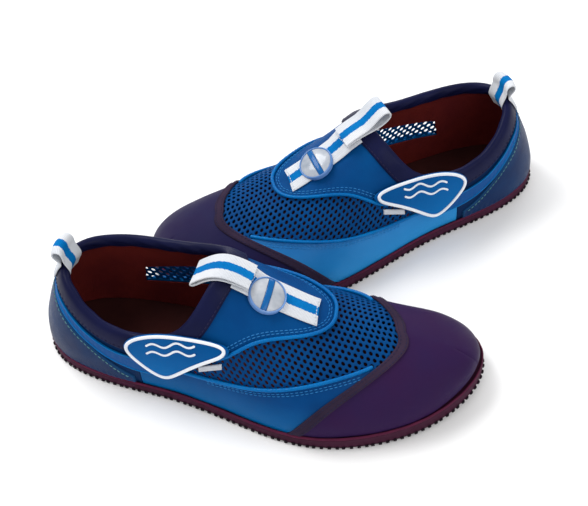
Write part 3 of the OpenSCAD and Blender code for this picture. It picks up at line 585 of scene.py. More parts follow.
FILM = {"kind": "plain", "pitch": 0.6, "bump": 0.16}
TOE = {"kind": "plain", "pitch": 0.7, "bump": 0.22, "patch": 18}
THREAD = {"kind": "rib", "pitch": 0.5, "bump": 0.4}
M = {
    "outsole": cloth("outsole_rubber", (0.040, 0.010, 0.024), (0.060, 0.014, 0.036), 0.55, "none", bump=0.5,
                     patch=60),
    "studs": cloth("stud_rubber", (0.012, 0.008, 0.012), (0.020, 0.010, 0.018), 0.6, "none", bump=0.5,
                   patch=60),
    "rand": cloth("rand_rubber", (0.095, 0.013, 0.040), (0.060, 0.010, 0.030), 0.5, "none", bump=0.4, patch=60),
    "footbed": footbed_material(),
    "quarter": cloth("rear_neoprene", (0.002, 0.024, 0.090), (0.003, 0.013, 0.055), 0.5, "knit", pitch=0.9),
    "counter": cloth("counter_film", (0.002, 0.034, 0.118), (0.003, 0.013, 0.064), 0.36, "plain", pitch=0.7,
                     bump=0.2, coat=0.03, edge=(1.4, (0.02, 0.10, 0.24), 0.6)),
    "lining": cloth("inner_lining", (0.180, 0.020, 0.015), (0.110, 0.012, 0.013), 0.9, "knit", pitch=1.2,
                    bump=0.5),
    # the side film's gradient is a painted highlight near the sole
    "side": cloth("side_film", (0.0, 0.062, 0.23), (0.0, 0.040, 0.16), 0.34, coat=0.03, **FILM,
                  gradient=(0.030, 0.008, (0.0, 0.20, 0.52), 0.5), edge=(1.5, (0.0, 0.17, 0.45), 0.4)),
    # lit copy of the side film, for the left shoe's outer panel: painted light, with a stronger painted
    # highlight near the sole
    "side_painted_lit": cloth("side_film_painted_lit", (0.025, 0.190, 0.50), (0.012, 0.140, 0.42), 0.34, coat=0.1, **FILM,
                         gradient=(0.044, 0.010, (0.02, 0.30, 0.68), 0.8), edge=(1.5, (0.0, 0.20, 0.50), 0.4)),
    "mesh": cloth("open_mesh", (0.0, 0.055, 0.20), (0.0, 0.036, 0.14), 0.55, "none", bump=0.5, grain=1500.0),
    "instep": cloth("instep_neoprene", (0.0, 0.072, 0.25), (0.0, 0.045, 0.18), 0.48, "knit", pitch=0.8,
                    bump=0.3),
    "toe": cloth("toe_film", (0.022, 0.012, 0.062), (0.030, 0.009, 0.052), 0.46, **TOE),
    "toe_navy": cloth("toe_film_navy", (0.014, 0.014, 0.058), (0.018, 0.010, 0.048), 0.46, **TOE),
    "band": cloth("toe_band_flock", (0.042, 0.026, 0.050), (0.024, 0.016, 0.034), 0.9, "none", bump=0.8,
                  grain=1600.0),
    "binding": cloth("collar_tape", (0.008, 0.010, 0.050), (0.005, 0.006, 0.030), 0.40, "rib", pitch=0.8,
                     bump=0.2, coat=0.04),
    "piping": cloth("satin_piping", (0.0, 0.17, 0.48), (0.0, 0.10, 0.34), 0.32, "rib", pitch=0.9, bump=0.3,
                    coat=0.08),
    "strap": cloth("strap_film", (0.0, 0.080, 0.29), (0.0, 0.055, 0.22), 0.32, coat=0.1, **FILM,
                   edge=(1.2, (0.0, 0.17, 0.45), 0.5)),
    "webbing": webbing_material(),
    "hook": cloth("hook_tape", (0.74, 0.76, 0.80), (0.58, 0.60, 0.66), 0.8, "plain", pitch=1.3, bump=0.9),
    "ring": cloth("emblem_ring", (0.16, 0.30, 0.60), (0.08, 0.20, 0.48), 0.2, "none", bump=0.05, coat=0.6),
    "face": cloth("emblem_face", (0.50, 0.52, 0.56), (0.28, 0.32, 0.38), 0.2, "none", bump=0.05, coat=0.8,
                  patch=90),
    "bar": cloth("emblem_bar", (0.0, 0.11, 0.34), (0.0, 0.08, 0.28), 0.28, "none", bump=0.05, coat=0.4),
    "badge": cloth("badge_face", (0.0, 0.090, 0.30), (0.0, 0.070, 0.25), 0.4, "none", bump=0.25, patch=40,
                   gradient=(0.052, 0.028, (0.0, 0.14, 0.42), 0.7)),
    "trim": cloth("badge_trim", (0.84, 0.86, 0.90), (0.76, 0.79, 0.84), 0.42, "none", bump=0.2, patch=60),
    "thread_blue": cloth("thread_blue", (0.05, 0.28, 0.62), (0.02, 0.18, 0.48), 0.5, **THREAD),
    "thread_pale": cloth("thread_pale", (0.16, 0.36, 0.34), (0.08, 0.24, 0.26), 0.55, **THREAD),
    "thread_dark": cloth("thread_dark", (0.030, 0.026, 0.07), (0.02, 0.018, 0.05), 0.55, **THREAD),
    "thread_white": cloth("thread_white", (0.76, 0.79, 0.84), (0.60, 0.64, 0.70), 0.55, **THREAD),
}


# ---------------------------------------------------------------- sole
TOE_SPRING, SPRING_FROM, TOE_X = 5.0, 200.0, 276.0
SOLE_LIP = 3.2


def ground(x):
    return np.where(x < SPRING_FROM, 0, TOE_SPRING * ((x - SPRING_FROM) / (TOE_X - SPRING_FROM)) ** 2)


def outline(n, out, z_at):
    t = 16 * np.arange(n) / n
    e = loop_at(SOLE_EDGE, t)
    p = e + sole_out(t) * out
    p[:, 2] = z_at(e)
    return p


def inside(poly, pts):
    """Which points lie inside a closed polygon."""
    x, y = pts[:, 0], pts[:, 1]
    hit = np.zeros(len(pts), bool)
    for (x0, y0), (x1, y1) in zip(poly, np.roll(poly, -1, 0)):
        cross = ((y0 > y) != (y1 > y)) & (x < (x1 - x0) * (y - y0) / (y1 - y0 + 1e-12) + x0)
        hit ^= cross
    return hit


def ringed(outlines):
    """Solid skinned over stacked outlines of equal length, with fan rungs as caps."""
    m, n = len(outlines), len(outlines[0])
    idx = np.arange(m * n).reshape(m, n)
    sides = np.stack([idx[:-1], np.roll(idx[:-1], -1, 1), np.roll(idx[1:], -1, 1), idx[1:]], -1)
    quads = sides.reshape(-1, 4).tolist()
    for row in (idx[0], idx[-1]):
        for k in range(n // 2):
            a, b, c, d = row[k], row[k + 1], row[(n - k - 1) % n], row[(n - k) % n]
            quads.append([a, b, c] if a == d else ([a, b, d] if b == c else [a, b, c, d]))
    return np.concatenate(outlines), quads


def above_ground(z):
    """Height z above the ground, which rises under the toe, for points of the sole edge."""
    return lambda e: ground(e[:, 0]) + z


def above_edge(z):
    """Height z above the sole edge, for points of the sole edge."""
    return lambda e: e[:, 2] + z


def half_way_up(e):
    """Height half-way from the ground to the sole edge, for points of the sole edge."""
    return ground(e[:, 0]) * 0.5 + e[:, 2] * 0.5 - 0.4


def rungs(n, levels):
    """Side faces between rings of n points, stacked one above the other."""
    return [[i + n * k, (i + 1) % n + n * k, (i + 1) % n + n * k + n, i + n * k + n]
            for k in range(levels) for i in range(n)]


EDGE_STUDS, STUD_STEPS = 146, 720
EDGE_STUD_RINGS = ((-0.8, 1.0), (0.5, 1.0), (1.0, 0.55))  # (distance out, size)
EDGE_STUD_CORNERS = ((-1.05, -1.3), (1.05, -1.3), (1.05, 0.6), (-1.05, 0.6))  # (along the edge, up)
LUG_PITCH_X, LUG_PITCH_Y = 9.0, 7.8
LUG_CLEAR, LUG_FROM_EDGE = 4.4, 4.2
LUG_RINGS = ((4.1, 1.6), (4.0, 0.25), (3.5, 0.03), (2.0, 0.03), (1.6, 0.7))  # (radius, height)
HEXAGON = np.arange(6) * math.pi / 3
RAND_PROFILE = np.array([[2.6, -0.5], [3.2, -0.6], [3.5, -0.1], [3.45, 0.5], [3.25, 1.0], [3.0, 1.35],
    [2.7, 1.45], [2.1, 1.2], [2.0, 0.2]])
FOOTBED_LEVELS = ((-2.9, -0.3), (-2.85, 2.2), (-3.3, 3.3), (-4.5, 3.7), (-7.0, 3.3), (-12.0, 2.8), (-19.0, 2.6))


def edge_studs():
    """Small studs round the ground edge of the sole."""
    edge = outline(STUD_STEPS, SOLE_LIP + 0.1, above_ground(1.5))
    away = sole_out(16 * np.arange(STUD_STEPS) / STUD_STEPS)
    run = run_lengths(edge, 0)
    total = run[-1] + np.linalg.norm(edge[0] - edge[-1])
    up = np.array([0, 0, 1.0])
    faces = [[0, 3, 2, 1], [8, 9, 10, 11]] + rungs(4, 2)
    studs = []
    for at in np.arange(0, total, total / EDGE_STUDS):
        k = int(np.searchsorted(run, at)) % STUD_STEPS
        side = np.array([-away[k][1], away[k][0], 0])
        box = [edge[k] + away[k] * out + side * a * size + up * b * size
               for out, size in EDGE_STUD_RINGS for a, b in EDGE_STUD_CORNERS]
        studs.append((np.array(box), faces, np.zeros((12, 3))))
    return joined(studs)


def tread_lugs():
    """Six-sided lugs in staggered rows under the sole."""
    poly = outline(120, SOLE_LIP - LUG_FROM_EDGE, above_edge(0.0))[:, :2]
    gx, gy = np.meshgrid(np.arange(-14, 284, LUG_PITCH_X), np.arange(-64, 56, LUG_PITCH_Y), indexing="ij")
    gy = gy + LUG_PITCH_Y / 2 * (np.arange(gx.shape[0]) % 2)[:, None]
    centres = np.stack([gx.ravel(), gy.ravel()], -1)
    corners = LUG_CLEAR * np.stack([np.cos(HEXAGON), np.sin(HEXAGON)], -1)
    keep = np.all([inside(poly, centres + corner) for corner in corners], 0)
    faces = rungs(6, 4) + [[0, 1, 2, 3, 4, 5], [24, 25, 26, 27, 28, 29]]
    lugs = []
    for cx, cy in centres[keep]:
        rings = []
        for r, z in LUG_RINGS:
            x, y = cx + r * np.cos(HEXAGON), cy + r * np.sin(HEXAGON)
            rings.append(np.stack([x, y, ground(x) + z], -1))
        lugs.append((np.concatenate(rings), faces, np.zeros((30, 3))))
    return lugs


def build_sole(shoe):
    """Outsole with its studs and lugs, the rand round its top edge, and the footbed."""
    n = 360
    rows = [(-3.0, above_ground(1.4)), (SOLE_LIP - 2.6, above_ground(1.3)),
            (SOLE_LIP - 2.2, above_ground(0.05)), (SOLE_LIP - 1.0, above_ground(0.05)),
            (SOLE_LIP - 0.3, above_ground(0.5)),
            (SOLE_LIP, above_ground(1.4)), (SOLE_LIP - 0.1, half_way_up), (SOLE_LIP + 0.1, above_edge(-1.7)),
            (SOLE_LIP, above_edge(-1.0)), (SOLE_LIP - 0.5, above_edge(-0.6))]
    v, f = ringed([outline(n, out, z_at) for out, z_at in rows])
    body = (v, f, np.stack([v[:, 0], v[:, 1], np.ones(len(v))], -1))
    sv, sf, sm = edge_studs()
    make(shoe, "sole_studs", sv, sf, M["studs"], "outsole_rubber", mm=sm, replaces=(), smooth=40)
    v, f, m = joined([body] + tread_lugs())
    make(shoe, "outsole", v, f, M["outsole"], "outsole_rubber", mm=m, smooth=40)
    # the rand laps up on the upper
    t = 16 * np.arange(n) / n
    e, o = loop_at(SOLE_EDGE, t), sole_out(t)
    k = 2 * len(RAND_PROFILE)
    wob = 0.07 * np.sin(2 * np.pi * np.arange(n) / 7.2)
    grid = np.stack([e + o * (a + wob)[:, None] + np.array([0, 0, z])
                     for a, z in loop_at(RAND_PROFILE, np.arange(k) / 2)], 1)
    make(shoe, "sole_rand", grid.reshape(-1, 3), ring_quads(n, k), M["rand"], "rand_rubber",
         mm=np.zeros((n * k, 3)), smooth=60)
    # the footbed is dished, with a raised rim
    v, f = ringed([outline(200, out, above_edge(z)) for out, z in FOOTBED_LEVELS])
    obj = make(shoe, "insole", v, f, M["footbed"], "footbed", smooth=70,
               mm=np.stack([v[:, 0], v[:, 1], 0 * v[:, 0] + 5], -1))


# ---------------------------------------------------------------- upper
def two(p):
    return p[..., 0], p[..., 1]


def quarter_at(more):
    """Places of the rear quarter, reaching further forward by more at both ends."""
    def place(x, s):
        u = between(QUARTER_OUTER + more, -QUARTER_INNER - more, x)
        return u, rim_w(u) * s
    return place


def counter_at(x, s):
    p = path_at(COUNTER_EDGE, 12 * (1 - x))
    return p[..., 0], 0.015 + (p[..., 1] - 0.015) * s


def side_outer_at(x, s):
    t = VENT_OUTER_END * (1 - x)
    u, w = two(between(path_at(OUTER_SOLE_SEAM, t), path_at(VENT_SEAM, t), s))
    return u + 0.1 * s * np.exp(-25 * x), w  # its front corner reaches under the toe band


def side_inner_at(x, s):
    t = 4 * (1 - x)
    return two(between(path_at(INNER_SOLE_SEAM, t), path_at(VENT_SEAM, t + VENT_INNER_START), s))


def part_of(place, low, high):
    return lambda x, s: place(x, low + (high - low) * s)


def instep_at(x, s):
    return two(between(path_at(INSTEP_SEAM, 14 * x), collar_place(2.78 + 7.2 * x, 0 * x + PANEL_TOP), s))


def cap_u(w):
    return path_at(CAP_EDGE, 5 * w)[..., 0]


def band_at(x, s):
    w = 0.03 + 1.94 * x
    return cap_u(w) - 0.11 + 0.19 * s, w


def strap_at(x, s):
    t = 5 * (1 - x)
    return two(between(path_at(STRAP_FOOT, t), path_at(STRAP_TOP, t), s))


def along(rows, a, b):
    """Places along a seam between two of its rows."""
    return lambda x: two(path_at(rows, a + (b - a) * x))


def beside(rows, a, b, mm):
    """Places mm millimetres to the side of a seam, positive towards rising w where the seam starts."""
    def place(x):
        t = a + (b - a) * x
        p, q = path_at(rows, t), path_at(rows, t + 0.01)
        u, w = two(p)
        du = last_point(u + 0.01, w) - last_point(u - 0.01, w)
        dw = last_point(u, w + 0.01) - last_point(u, w - 0.01)
        su, sw = np.linalg.norm(du, axis=-1) / 0.02, np.linalg.norm(dw, axis=-1) / 0.02
        d = unit((q - p) * np.stack([su, sw], -1))
        return u - d[..., 1] * mm / su, w + d[..., 0] * mm / sw
    return place


MESH_PITCH = np.array([4.0, 3.3])  # millimetres along the shoe and across it
MESH_HOLE = np.array([0.60, 0.54])  # share of a cell that is open, along and across
MESH_CORNERS = np.array([[0, 2 / 3], [0.5, 1 / 3], [0.5, -1 / 3], [0, -2 / 3], [-0.5, -1 / 3], [-0.5, 1 / 3]])
MESH_TUCK = np.array([0.12, 0])  # how far the mesh reaches under the toe band
MESH_HEIGHT, MESH_THICK = 0.55, 0.8


def build_mesh_vent(shoe):
    """Open hexagonal mesh, cell by cell, tucked under the panels round it."""
    us, vs = np.linspace(1.8, 6.9, 130), np.linspace(0, 1, 40)
    run = run_lengths(last_point(us, 0 * us + 0.6), 0)
    outer_girth = [run_lengths(last_point(0 * vs + u, vs), 0)[-1] for u in us]
    inner_girth = [run_lengths(last_point(0 * vs + u, 2 - vs), 0)[-1] for u in us]

    def place(p, q):
        u = np.interp(p, run, us)
        return u, 1 + q / np.where(q < 0, np.interp(u, us, outer_girth), np.interp(u, us, inner_girth))

    t = np.linspace(0, 14, 220)
    poly = np.concatenate([path_at(INSTEP_SEAM, t), path_at(VENT_SEAM, t)[::-1]])
    i, j = np.meshgrid(np.arange(0, int(run[-1] / MESH_PITCH[0]) + 2), np.arange(-36, 37), indexing="ij")
    cells = np.stack([(i + 0.5 * (j % 2)).ravel(), j.ravel()], -1) * MESH_PITCH
    touching = inside(poly, np.stack(place(*cells.T), -1))
    for corner in MESH_CORNERS:  # cells that only touch the opening are kept, so the mesh tucks under its seams
        at = np.stack(place(*(cells + corner * MESH_PITCH).T), -1)
        touching |= inside(poly, at) | inside(poly + MESH_TUCK, at)
    cells = cells[touching]
    outer = cells[:, None] + MESH_CORNERS * MESH_PITCH
    inner = cells[:, None] + MESH_CORNERS * (MESH_PITCH * MESH_HOLE)
    pts = np.concatenate([outer, inner], 1).reshape(-1, 2)
    base, normal = surface(*place(*pts.T))
    verts = base + normal * (MESH_HEIGHT + ripple(shoe, base))[:, None]
    faces = [[12 * c + k, 12 * c + (k + 1) % 6, 12 * c + 6 + (k + 1) % 6, 12 * c + 6 + k]
             for c in range(len(cells)) for k in range(6)]
    obj = make(shoe, "mesh_vent", verts, faces, M["mesh"], "mesh", merge=0.05, smooth=180,
               mm=np.concatenate([pts, 0 * pts[:, :1] + 5], 1))
    thick = obj.modifiers.new("thick", "SOLIDIFY")
    thick.thickness = MESH_THICK * MM
    thick.offset = 0
    fine = obj.modifiers.new("fine", "SUBSURF")
    fine.levels = fine.render_levels = 1


TIP_REACH = 0.042  # metres round the toe tip over which the fold is evened out


def build_toe_cap(shoe):
    """Stretch toe, from under the toe band to the tip, where its grid folds shut."""
    w = np.linspace(0.012, 1.988, 121)
    s = np.concatenate([[0, 0.012, 0.03], np.linspace(0.06, 1, 41)])
    x, y = np.meshgrid(w, s, indexing="ij")
    base, normal = surface(cap_u(x) + 0.02 + (8 - cap_u(x) - 0.02) * y, x)
    uneven = ripple(shoe, base)
    run = run_lengths(base, 1)
    top, low = base + normal * (PANEL_T + 0.2 + uneven)[..., None], base + normal * uneven[..., None]
    for layer in (top, low):  # both sides share the last column, along the toe tip
        layer[:, -1] = (layer[:, -1] + layer[::-1, -1]) / 2
    v, f = shell(top, low)
    mm = np.stack([run_lengths(base, 0), run, np.minimum(run, 9)], -1).reshape(-1, 3)
    film = M["toe" if shoe.side == "right" else "toe_navy"]
    obj = make(shoe, "toe_cap", v, f, film, "toe_fabric", mm=np.concatenate([mm, mm]), merge=0.02, smooth=180)
    tip = obj.vertex_groups.new(name="tip")
    near = Vector(shoe.world(last_point(np.array([8.0]), np.array([0.6])))[0])
    for p in obj.data.vertices:
        reach = 1 - (p.co - near).length / TIP_REACH
        if reach > 0:
            tip.add([p.index], min(1.0, 2 * reach), "REPLACE")
    even = obj.modifiers.new("even", "SMOOTH")
    even.factor, even.iterations, even.vertex_group = 0.5, 150, "tip"
    base.transpose(1, 0, 2)


BINDING_PROFILE = np.array([[1.02, 1.5], [1.03, 2.5], [0.95, 3.0], [0.75, 3.3], [0.4, 3.4], [0.1, 3.2],
    [-0.08, 1.9], [-0.14, 0.2], [-0.11, -1.6], [0.03, -3.2], [0.25, -3.7], [0.5, -3.5], [0.56, -2.8],
    [0.5, -2.2], [0.25, -2.3], [0.08, -1.6], [0.06, 0.5], [0.3, 1.5], [0.7, 1.5]])


def build_binding(shoe):
    """Collar tape folded over the rim, with small tucks along it."""
    n, k = 300, 54
    prof = loop_at(BINDING_PROFILE, len(BINDING_PROFILE) * np.arange(k) / k)
    t = 12 * np.arange(n) / n
    place = np.stack([collar_place(t, np.full(n, s)) for s in prof[:, 0]], 1)
    base, normal = surface(*two(place))
    run = run_lengths(base, 0)
    tuck = 0.10 * np.sin(2 * np.pi * run / 5.2) * np.exp(-((prof[:, 0] - 0.85) / 0.2) ** 2)
    fold = 0.22 * np.sin(2 * np.pi * run / 17 + 1.0) * (prof[:, 1] < -1)
    verts = base + normal * (prof[:, 1] + tuck + fold + ripple(shoe, base))[..., None]
    mm = np.stack([run, run_lengths(base, 1), 0 * run + 5], -1).reshape(-1, 3)
    make(shoe, "collar_binding", verts.reshape(-1, 3), ring_quads(n, k), M["binding"], "binding", mm=mm,
         smooth=180)


LOOP_T, SELVEDGE = 1.15, 0.7


def ribbon(shoe, name, points, width, wobble, heel_r=None):
    """Woven pull loop along points, its width along the shoe's own y, bent round the heel by heel_r."""
    tangent = unit(np.gradient(points, axis=0))
    across = np.broadcast_to([0, 1.0, 0], tangent.shape)
    face = unit(np.cross(tangent, across))
    y = np.concatenate([[-1, -0.985, -0.95], np.linspace(-0.9, 0.9, 19), [0.95, 0.985, 1]]) * width / 2
    edge = width / 2 - np.abs(y)
    half = LOOP_T / 2 * (0.45 + 0.55 * rounded(edge, SELVEDGE))
    run = run_lengths(points, 0)
    bow = wobble * np.sin(run / 6.0)[:, None] * (y / (width / 2))[None] ** 2
    mid = points[:, None] + across[:, None] * y[None, :, None] + face[:, None] * bow[..., None]
    if heel_r:
        mid[..., 0] += y ** 2 / (2 * heel_r)
    v, f = shell(mid + face[:, None] * half[None, :, None], mid - face[:, None] * half[None, :, None])
    mm = np.stack([np.repeat(run, len(y)), np.tile(y, len(run)), np.tile(edge, len(run))], -1)
    return make(shoe, name, v, f, M["webbing"], "webbing", mm=np.concatenate([mm, mm]), replaces=(), ride=False)


def smooth_path(rows):
    """Smooth open curve through the rows of points, as points about 0.6 mm apart."""
    p = path_at(rows, np.linspace(0, len(rows) - 1, 40 * len(rows)))
    run = run_lengths(p, 0)
    at = np.linspace(0, run[-1], max(int(run[-1] / 0.6), 8))
    return np.stack([np.interp(at, run, p[:, k]) for k in range(p.shape[1])], -1)


def in_plane(origin, direction, rows):
    """Points of a loop drawn in the plane of direction and up; rows hold (along, above)."""
    up = np.array([-direction[2], 0, direction[0]])
    up = up if up[2] > 0 else -up
    rows = np.asarray(rows, float)
    return origin + rows[:, :1] * direction + rows[:, 1:] * up


def webbing_low(u):
    """Height of the webbing's underside, which climbs towards the collar."""
    return OVERLAY_LOW + (OVERLAY_T + 0.5) * np.clip((4.3 - u) / 0.2, 0, 1)


def build_webbing(shoe):
    """Instep webbing, sewn down under the emblem, with its rows of stitches."""
    u = between(3.9, 5.2, np.linspace(0, 1, 90))
    rows = np.linspace(-1, 1, 25) * WEBBING_W / 2
    girth = 3 * level_at(ROUNDNESS, u)[:, 2]
    ww = STRAP_W - rows[None] / girth[:, None]
    base, normal = surface(np.broadcast_to(u[:, None], ww.shape), ww)
    edge = WEBBING_W / 2 - np.abs(rows)
    half = WEBBING_T / 2 * (0.4 + 0.6 * rounded(edge, SELVEDGE))
    lift = webbing_low(u)[:, None] + WEBBING_T / 2 + ripple(shoe, base)
    v, f = shell(base + normal * (lift + half)[..., None], base + normal * (lift - half)[..., None])
    run = run_lengths(base, 0)
    mm = np.stack([run, np.broadcast_to(rows, run.shape), np.broadcast_to(edge, run.shape)], -1).reshape(-1, 3)
    make(shoe, "instep_webbing", v, f, M["webbing"], "webbing", mm=np.concatenate([mm, mm]))
    lines = []
    for at in (5.17, 4.02, 4.14):
        lines.append(line_on(shoe, lambda s, at=at: (at + 0 * s, STRAP_W - 0.10 + 0.20 * s), 40,
                             webbing_low(at) + WEBBING_T + 0.1))
    stitches(shoe, "webbing_stitches", lines, M["thread_white"], "webbing", pitch=1.9, length=1.5, width=0.3)


# tilt in degrees, then (along, above) in millimetres: the lower layer, the fold and the upper layer
FRONT_LOOP = {
    "right": (4, [(2.5, -1.9), (8, -2.4), (13.5, -5), (18.5, -9), (22.5, -12.2), (24.4, -12.6), (24.8, -11.4),
                  (23.4, -9.8), (19, -6.2), (14, -2.2), (8.5, 0.4), (2.5, 0.9)]),
    "left": (30, [(2, -2.6), (7, -4.6), (12, -5.6), (16, -5.8), (20.5, -5.0), (22.6, -2.4), (22, 0.2),
                  (19, 1.4), (15.5, 1.2), (11, 0.4), (7, -0.6), (2, -0.6)])}
HEEL_TILT, HEEL_R = 118, 22
HEEL_RING = [(1, 1.6), (3.2, 3.2), (5.8, 4), (8.4, 3.4), (9.8, 0.8), (8.8, -2), (6.2, -3), (3.2, -2.4),
             (1, -1.6)]
HEEL_INNER_LEG = [(0.98, -4.6), (0.6, -4.5), (0.2, -4.7), (-0.1, -3.0)]  # (place across the collar, height)
HEEL_OUTER_LEG = [(-0.1, 3.2), (0.15, 4.3), (0.6, 4.2), (0.95, 4.0)]


def build_loops(shoe):
    """Both pull loops: each layer leaves its seam, runs out to the fold and comes back."""
    tilt, rows = FRONT_LOOP[shoe.side]
    tilt = math.radians(tilt)
    d = np.array([-math.cos(tilt), 0, math.sin(tilt)])
    a, n = skin(4.12, STRAP_W, OVERLAY_LOW + OVERLAY_T + 0.5 + 1.9), last_normal(4.12, STRAP_W)
    mid = (a + FRONT_HINGE) / 2
    pts = np.concatenate([[a], [mid + np.array([0, 0, -0.3])], in_plane(FRONT_HINGE, d, rows),
                          [mid + np.array([0, 0, 1.5])], [a + 1.35 * n]])
    loop = ribbon(shoe, "front_loop", smooth_path(pts), WEBBING_W, 0.25)
    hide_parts(f"{shoe.side}_front_loop")
    blend_over(shoe, loop, "front_loop", FRONT_HINGE, d)
    tilt = math.radians(HEEL_TILT)
    d = np.array([math.cos(tilt), 0, math.sin(tilt)])
    legs = [[skin(*two(collar_place(0.0, s)), h) for s, h in leg] for leg in (HEEL_INNER_LEG, HEEL_OUTER_LEG)]
    pts = np.concatenate([legs[0], in_plane(HEEL_HINGE, d, HEEL_RING), legs[1]])
    loop = ribbon(shoe, "heel_loop", smooth_path(pts), WEBBING_W - 1, 0.2, heel_r=HEEL_R)
    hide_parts(f"{shoe.side}_heel_loop", f"{shoe.side}_heel_tab")
    blend_over(shoe, loop, "heel_loop", HEEL_HINGE, d)


BLEND_REACH = 2.2


def blend_over(shoe, piece, part, hinge, d):
    """Bakes a loop's placement into its mesh points."""
    p = shoe.world(np.array([hinge - d * BLEND_REACH, hinge + d * BLEND_REACH]))
    shoe.body()
    shoe.body(part)
    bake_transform(piece)


EMBLEM_PLACE = {"right": (4.43, 0.915), "left": (4.69, 0.94)}
EMBLEM_RING = [(12.1, -1.6), (12.15, 0.6), (12.05, 1.3), (11.8, 1.75), (11.5, 1.9), (11.25, 1.8), (11.1, 1.55),
               (11.05, 1.2), (10.6, 1.1), (5.0, 1.1)]  # (radius, height)
DOME_R, BAR_W, BAR_GAP, EMBLEM_TURN = 10.9, 3.8, 0.15, math.radians(92)


def dome_height(x, y):
    return 1.25 + 1.9 * np.clip(1 - (x * x + y * y) / DOME_R ** 2, 0, 1) ** 0.75


def down_to_floor(x, y, z):
    """Closed shell from a grid of heights down to the ring's floor."""
    top = np.stack([x, y, z], -1)
    low = top.copy()
    low[..., 2] = 1.0
    return shell(top, low)


def build_emblem(shoe):
    """Round emblem on the webbing: a ring, two lens halves and the bar between them."""
    place = EMBLEM_PLACE[shoe.side]
    n = last_normal(*place)
    origin = skin(*place, OVERLAY_LOW + WEBBING_T + 0.3)
    axis = np.cross([0, 0, 1.0], n)
    sin_a, cos_a = np.linalg.norm(axis), n[2]
    axis = axis / max(sin_a, 1e-9)
    k = np.array([[0, -axis[2], axis[1]], [axis[2], 0, -axis[0]], [-axis[1], axis[0], 0]])
    rot = np.eye(3) + sin_a * k + (1 - cos_a) * k @ k

    def put(points):
        return np.asarray(points, float) @ rot.T + origin

    ang = 2 * np.pi * np.arange(96) / 96
    v, f = ringed([np.stack([r * np.cos(ang), r * np.sin(ang), 0 * ang + z], -1) for r, z in EMBLEM_RING])
    make(shoe, "emblem_bezel", put(v), f, M["ring"], "emblem_ring", mm=0 * v + 5, smooth=35)
    c, s = math.cos(EMBLEM_TURN), math.sin(EMBLEM_TURN)
    spin = np.array([[c, -s, 0], [s, c, 0], [0, 0, 1]])
    start = BAR_W / 2 + BAR_GAP
    x = np.sin(np.linspace(-1, 1, 41) * math.pi / 2) * math.sqrt(DOME_R ** 2 - start ** 2)
    far = np.sqrt(np.maximum(DOME_R ** 2 - x ** 2, start ** 2))
    q = np.array([0, 0.03, 0.1, 0.2, 0.32, 0.45, 0.58, 0.7, 0.8, 0.87, 0.92, 0.95, 0.97, 0.985, 0.995, 1])
    parts = []
    for sign in (-1, 1):
        xx, y = x[:, None] + 0 * q, sign * (start + (far[:, None] - start) * q)
        z = dome_height(xx, y)
        z[:, 0] -= 0.25
        v, f = down_to_floor(xx, y, z)
        parts.append((v @ spin.T, f.tolist(), 0 * v + 5))
    v, f, mm = joined(parts)
    make(shoe, "emblem_dome", put(v), f, M["face"], "emblem_face", mm=mm, smooth=35, merge=0.001)
    y = np.array([-1, -0.95, -0.8, -0.4, 0, 0.4, 0.8, 0.95, 1])
    x, y = np.meshgrid(np.linspace(-1, 1, 61), y, indexing="ij")
    yy = y * BAR_W / 2
    xx = x * np.sqrt(DOME_R ** 2 - yy ** 2) * 0.995
    v, f = down_to_floor(xx, yy, dome_height(xx, yy) + 0.35 - 0.3 * np.abs(y) ** 6)
    make(shoe, "emblem_bar", put(v @ spin.T), f, M["bar"], "emblem_bar", mm=0 * v + 5, smooth=35)


BADGE_SHIFT, BADGE_SIZE = np.array([0.02, 0.045]), 0.95
BADGE_TOP = BADGE_LOW + BADGE_T


def build_badge(shoe):
    """Side badge: a pillowed plate with a raised rim, and two plain waves as a neutral decoration."""
    n = 180
    mid = BADGE_MID + BADGE_SHIFT
    edge = mid + BADGE_SIZE * (loop_at(BADGE_EDGE, 13 * np.arange(n) / n) - BADGE_MID)
    s = np.concatenate([[0.02], np.linspace(0.1, 0.9, 12), [0.95, 0.98, 1.0]])
    base, normal = surface(*two(mid + (edge[:, None] - mid) * s[None, :, None]))
    drop = np.where(s > 0.97, (s - 0.97) / 0.03, 0) * 0.7
    pillow = 0.25 * np.clip(1 - (s / 0.8) ** 2, 0, 1)
    top = base + normal * (BADGE_TOP - drop + pillow)[None, :, None]
    v, f = shell(top, base + normal * BADGE_LOW, wrap=True)
    # two fans round a middle point close the hole that the rings leave
    hub, k = len(v), len(s)
    v = np.concatenate([v, [skin(*mid, BADGE_TOP + 0.25), skin(*mid, BADGE_LOW)]])
    inner_top, inner_low = np.arange(n) * k, np.arange(n) * k + n * k
    hole = set(inner_top) | set(inner_low)
    f = [face for face in f.tolist() if not set(face) <= hole]
    f += [[hub, inner_top[i], inner_top[(i + 1) % n]] for i in range(n)]
    f += [[hub + 1, inner_low[(i + 1) % n], inner_low[i]] for i in range(n)]
    make(shoe, "badge", v, f, M["badge"], "badge_face", body="badge", mm=0 * v + 5, smooth=45)
    u, w = two(mid + (edge - mid) * 0.93)
    v, f, m = tube_mesh(skin(u, w, BADGE_TOP + 0.15), last_normal(u, w), 1.15, 12, closed=True, squeeze=0.7)
    make(shoe, "badge_border", v, f, M["trim"], "badge_trim", body="badge", mm=m, smooth=180)
    parts = []
    x = np.linspace(0, 1, 90)
    for k in (0, 1):
        u, w = 2.62 + 0.84 * x, 0.32 + 0.1 * x + 0.045 * k + 0.012 * np.sin(4 * np.pi * x)
        p = skin(u, w, BADGE_TOP + 0.25)
        parts.append(tube_mesh(p, last_normal(u, w), rounded_ends(run_lengths(p, 0), 0.75), 10, squeeze=0.6))
    v, f, m = joined(parts)
    make(shoe, "badge_wave", v, f, M["trim"], "badge_trim", body="badge", mm=m, smooth=180)


def patch_at(x, s):
    return 3.44 + 0.4 * x, 0.335 + 0.032 * s + 0.08 * (x - 0.5)


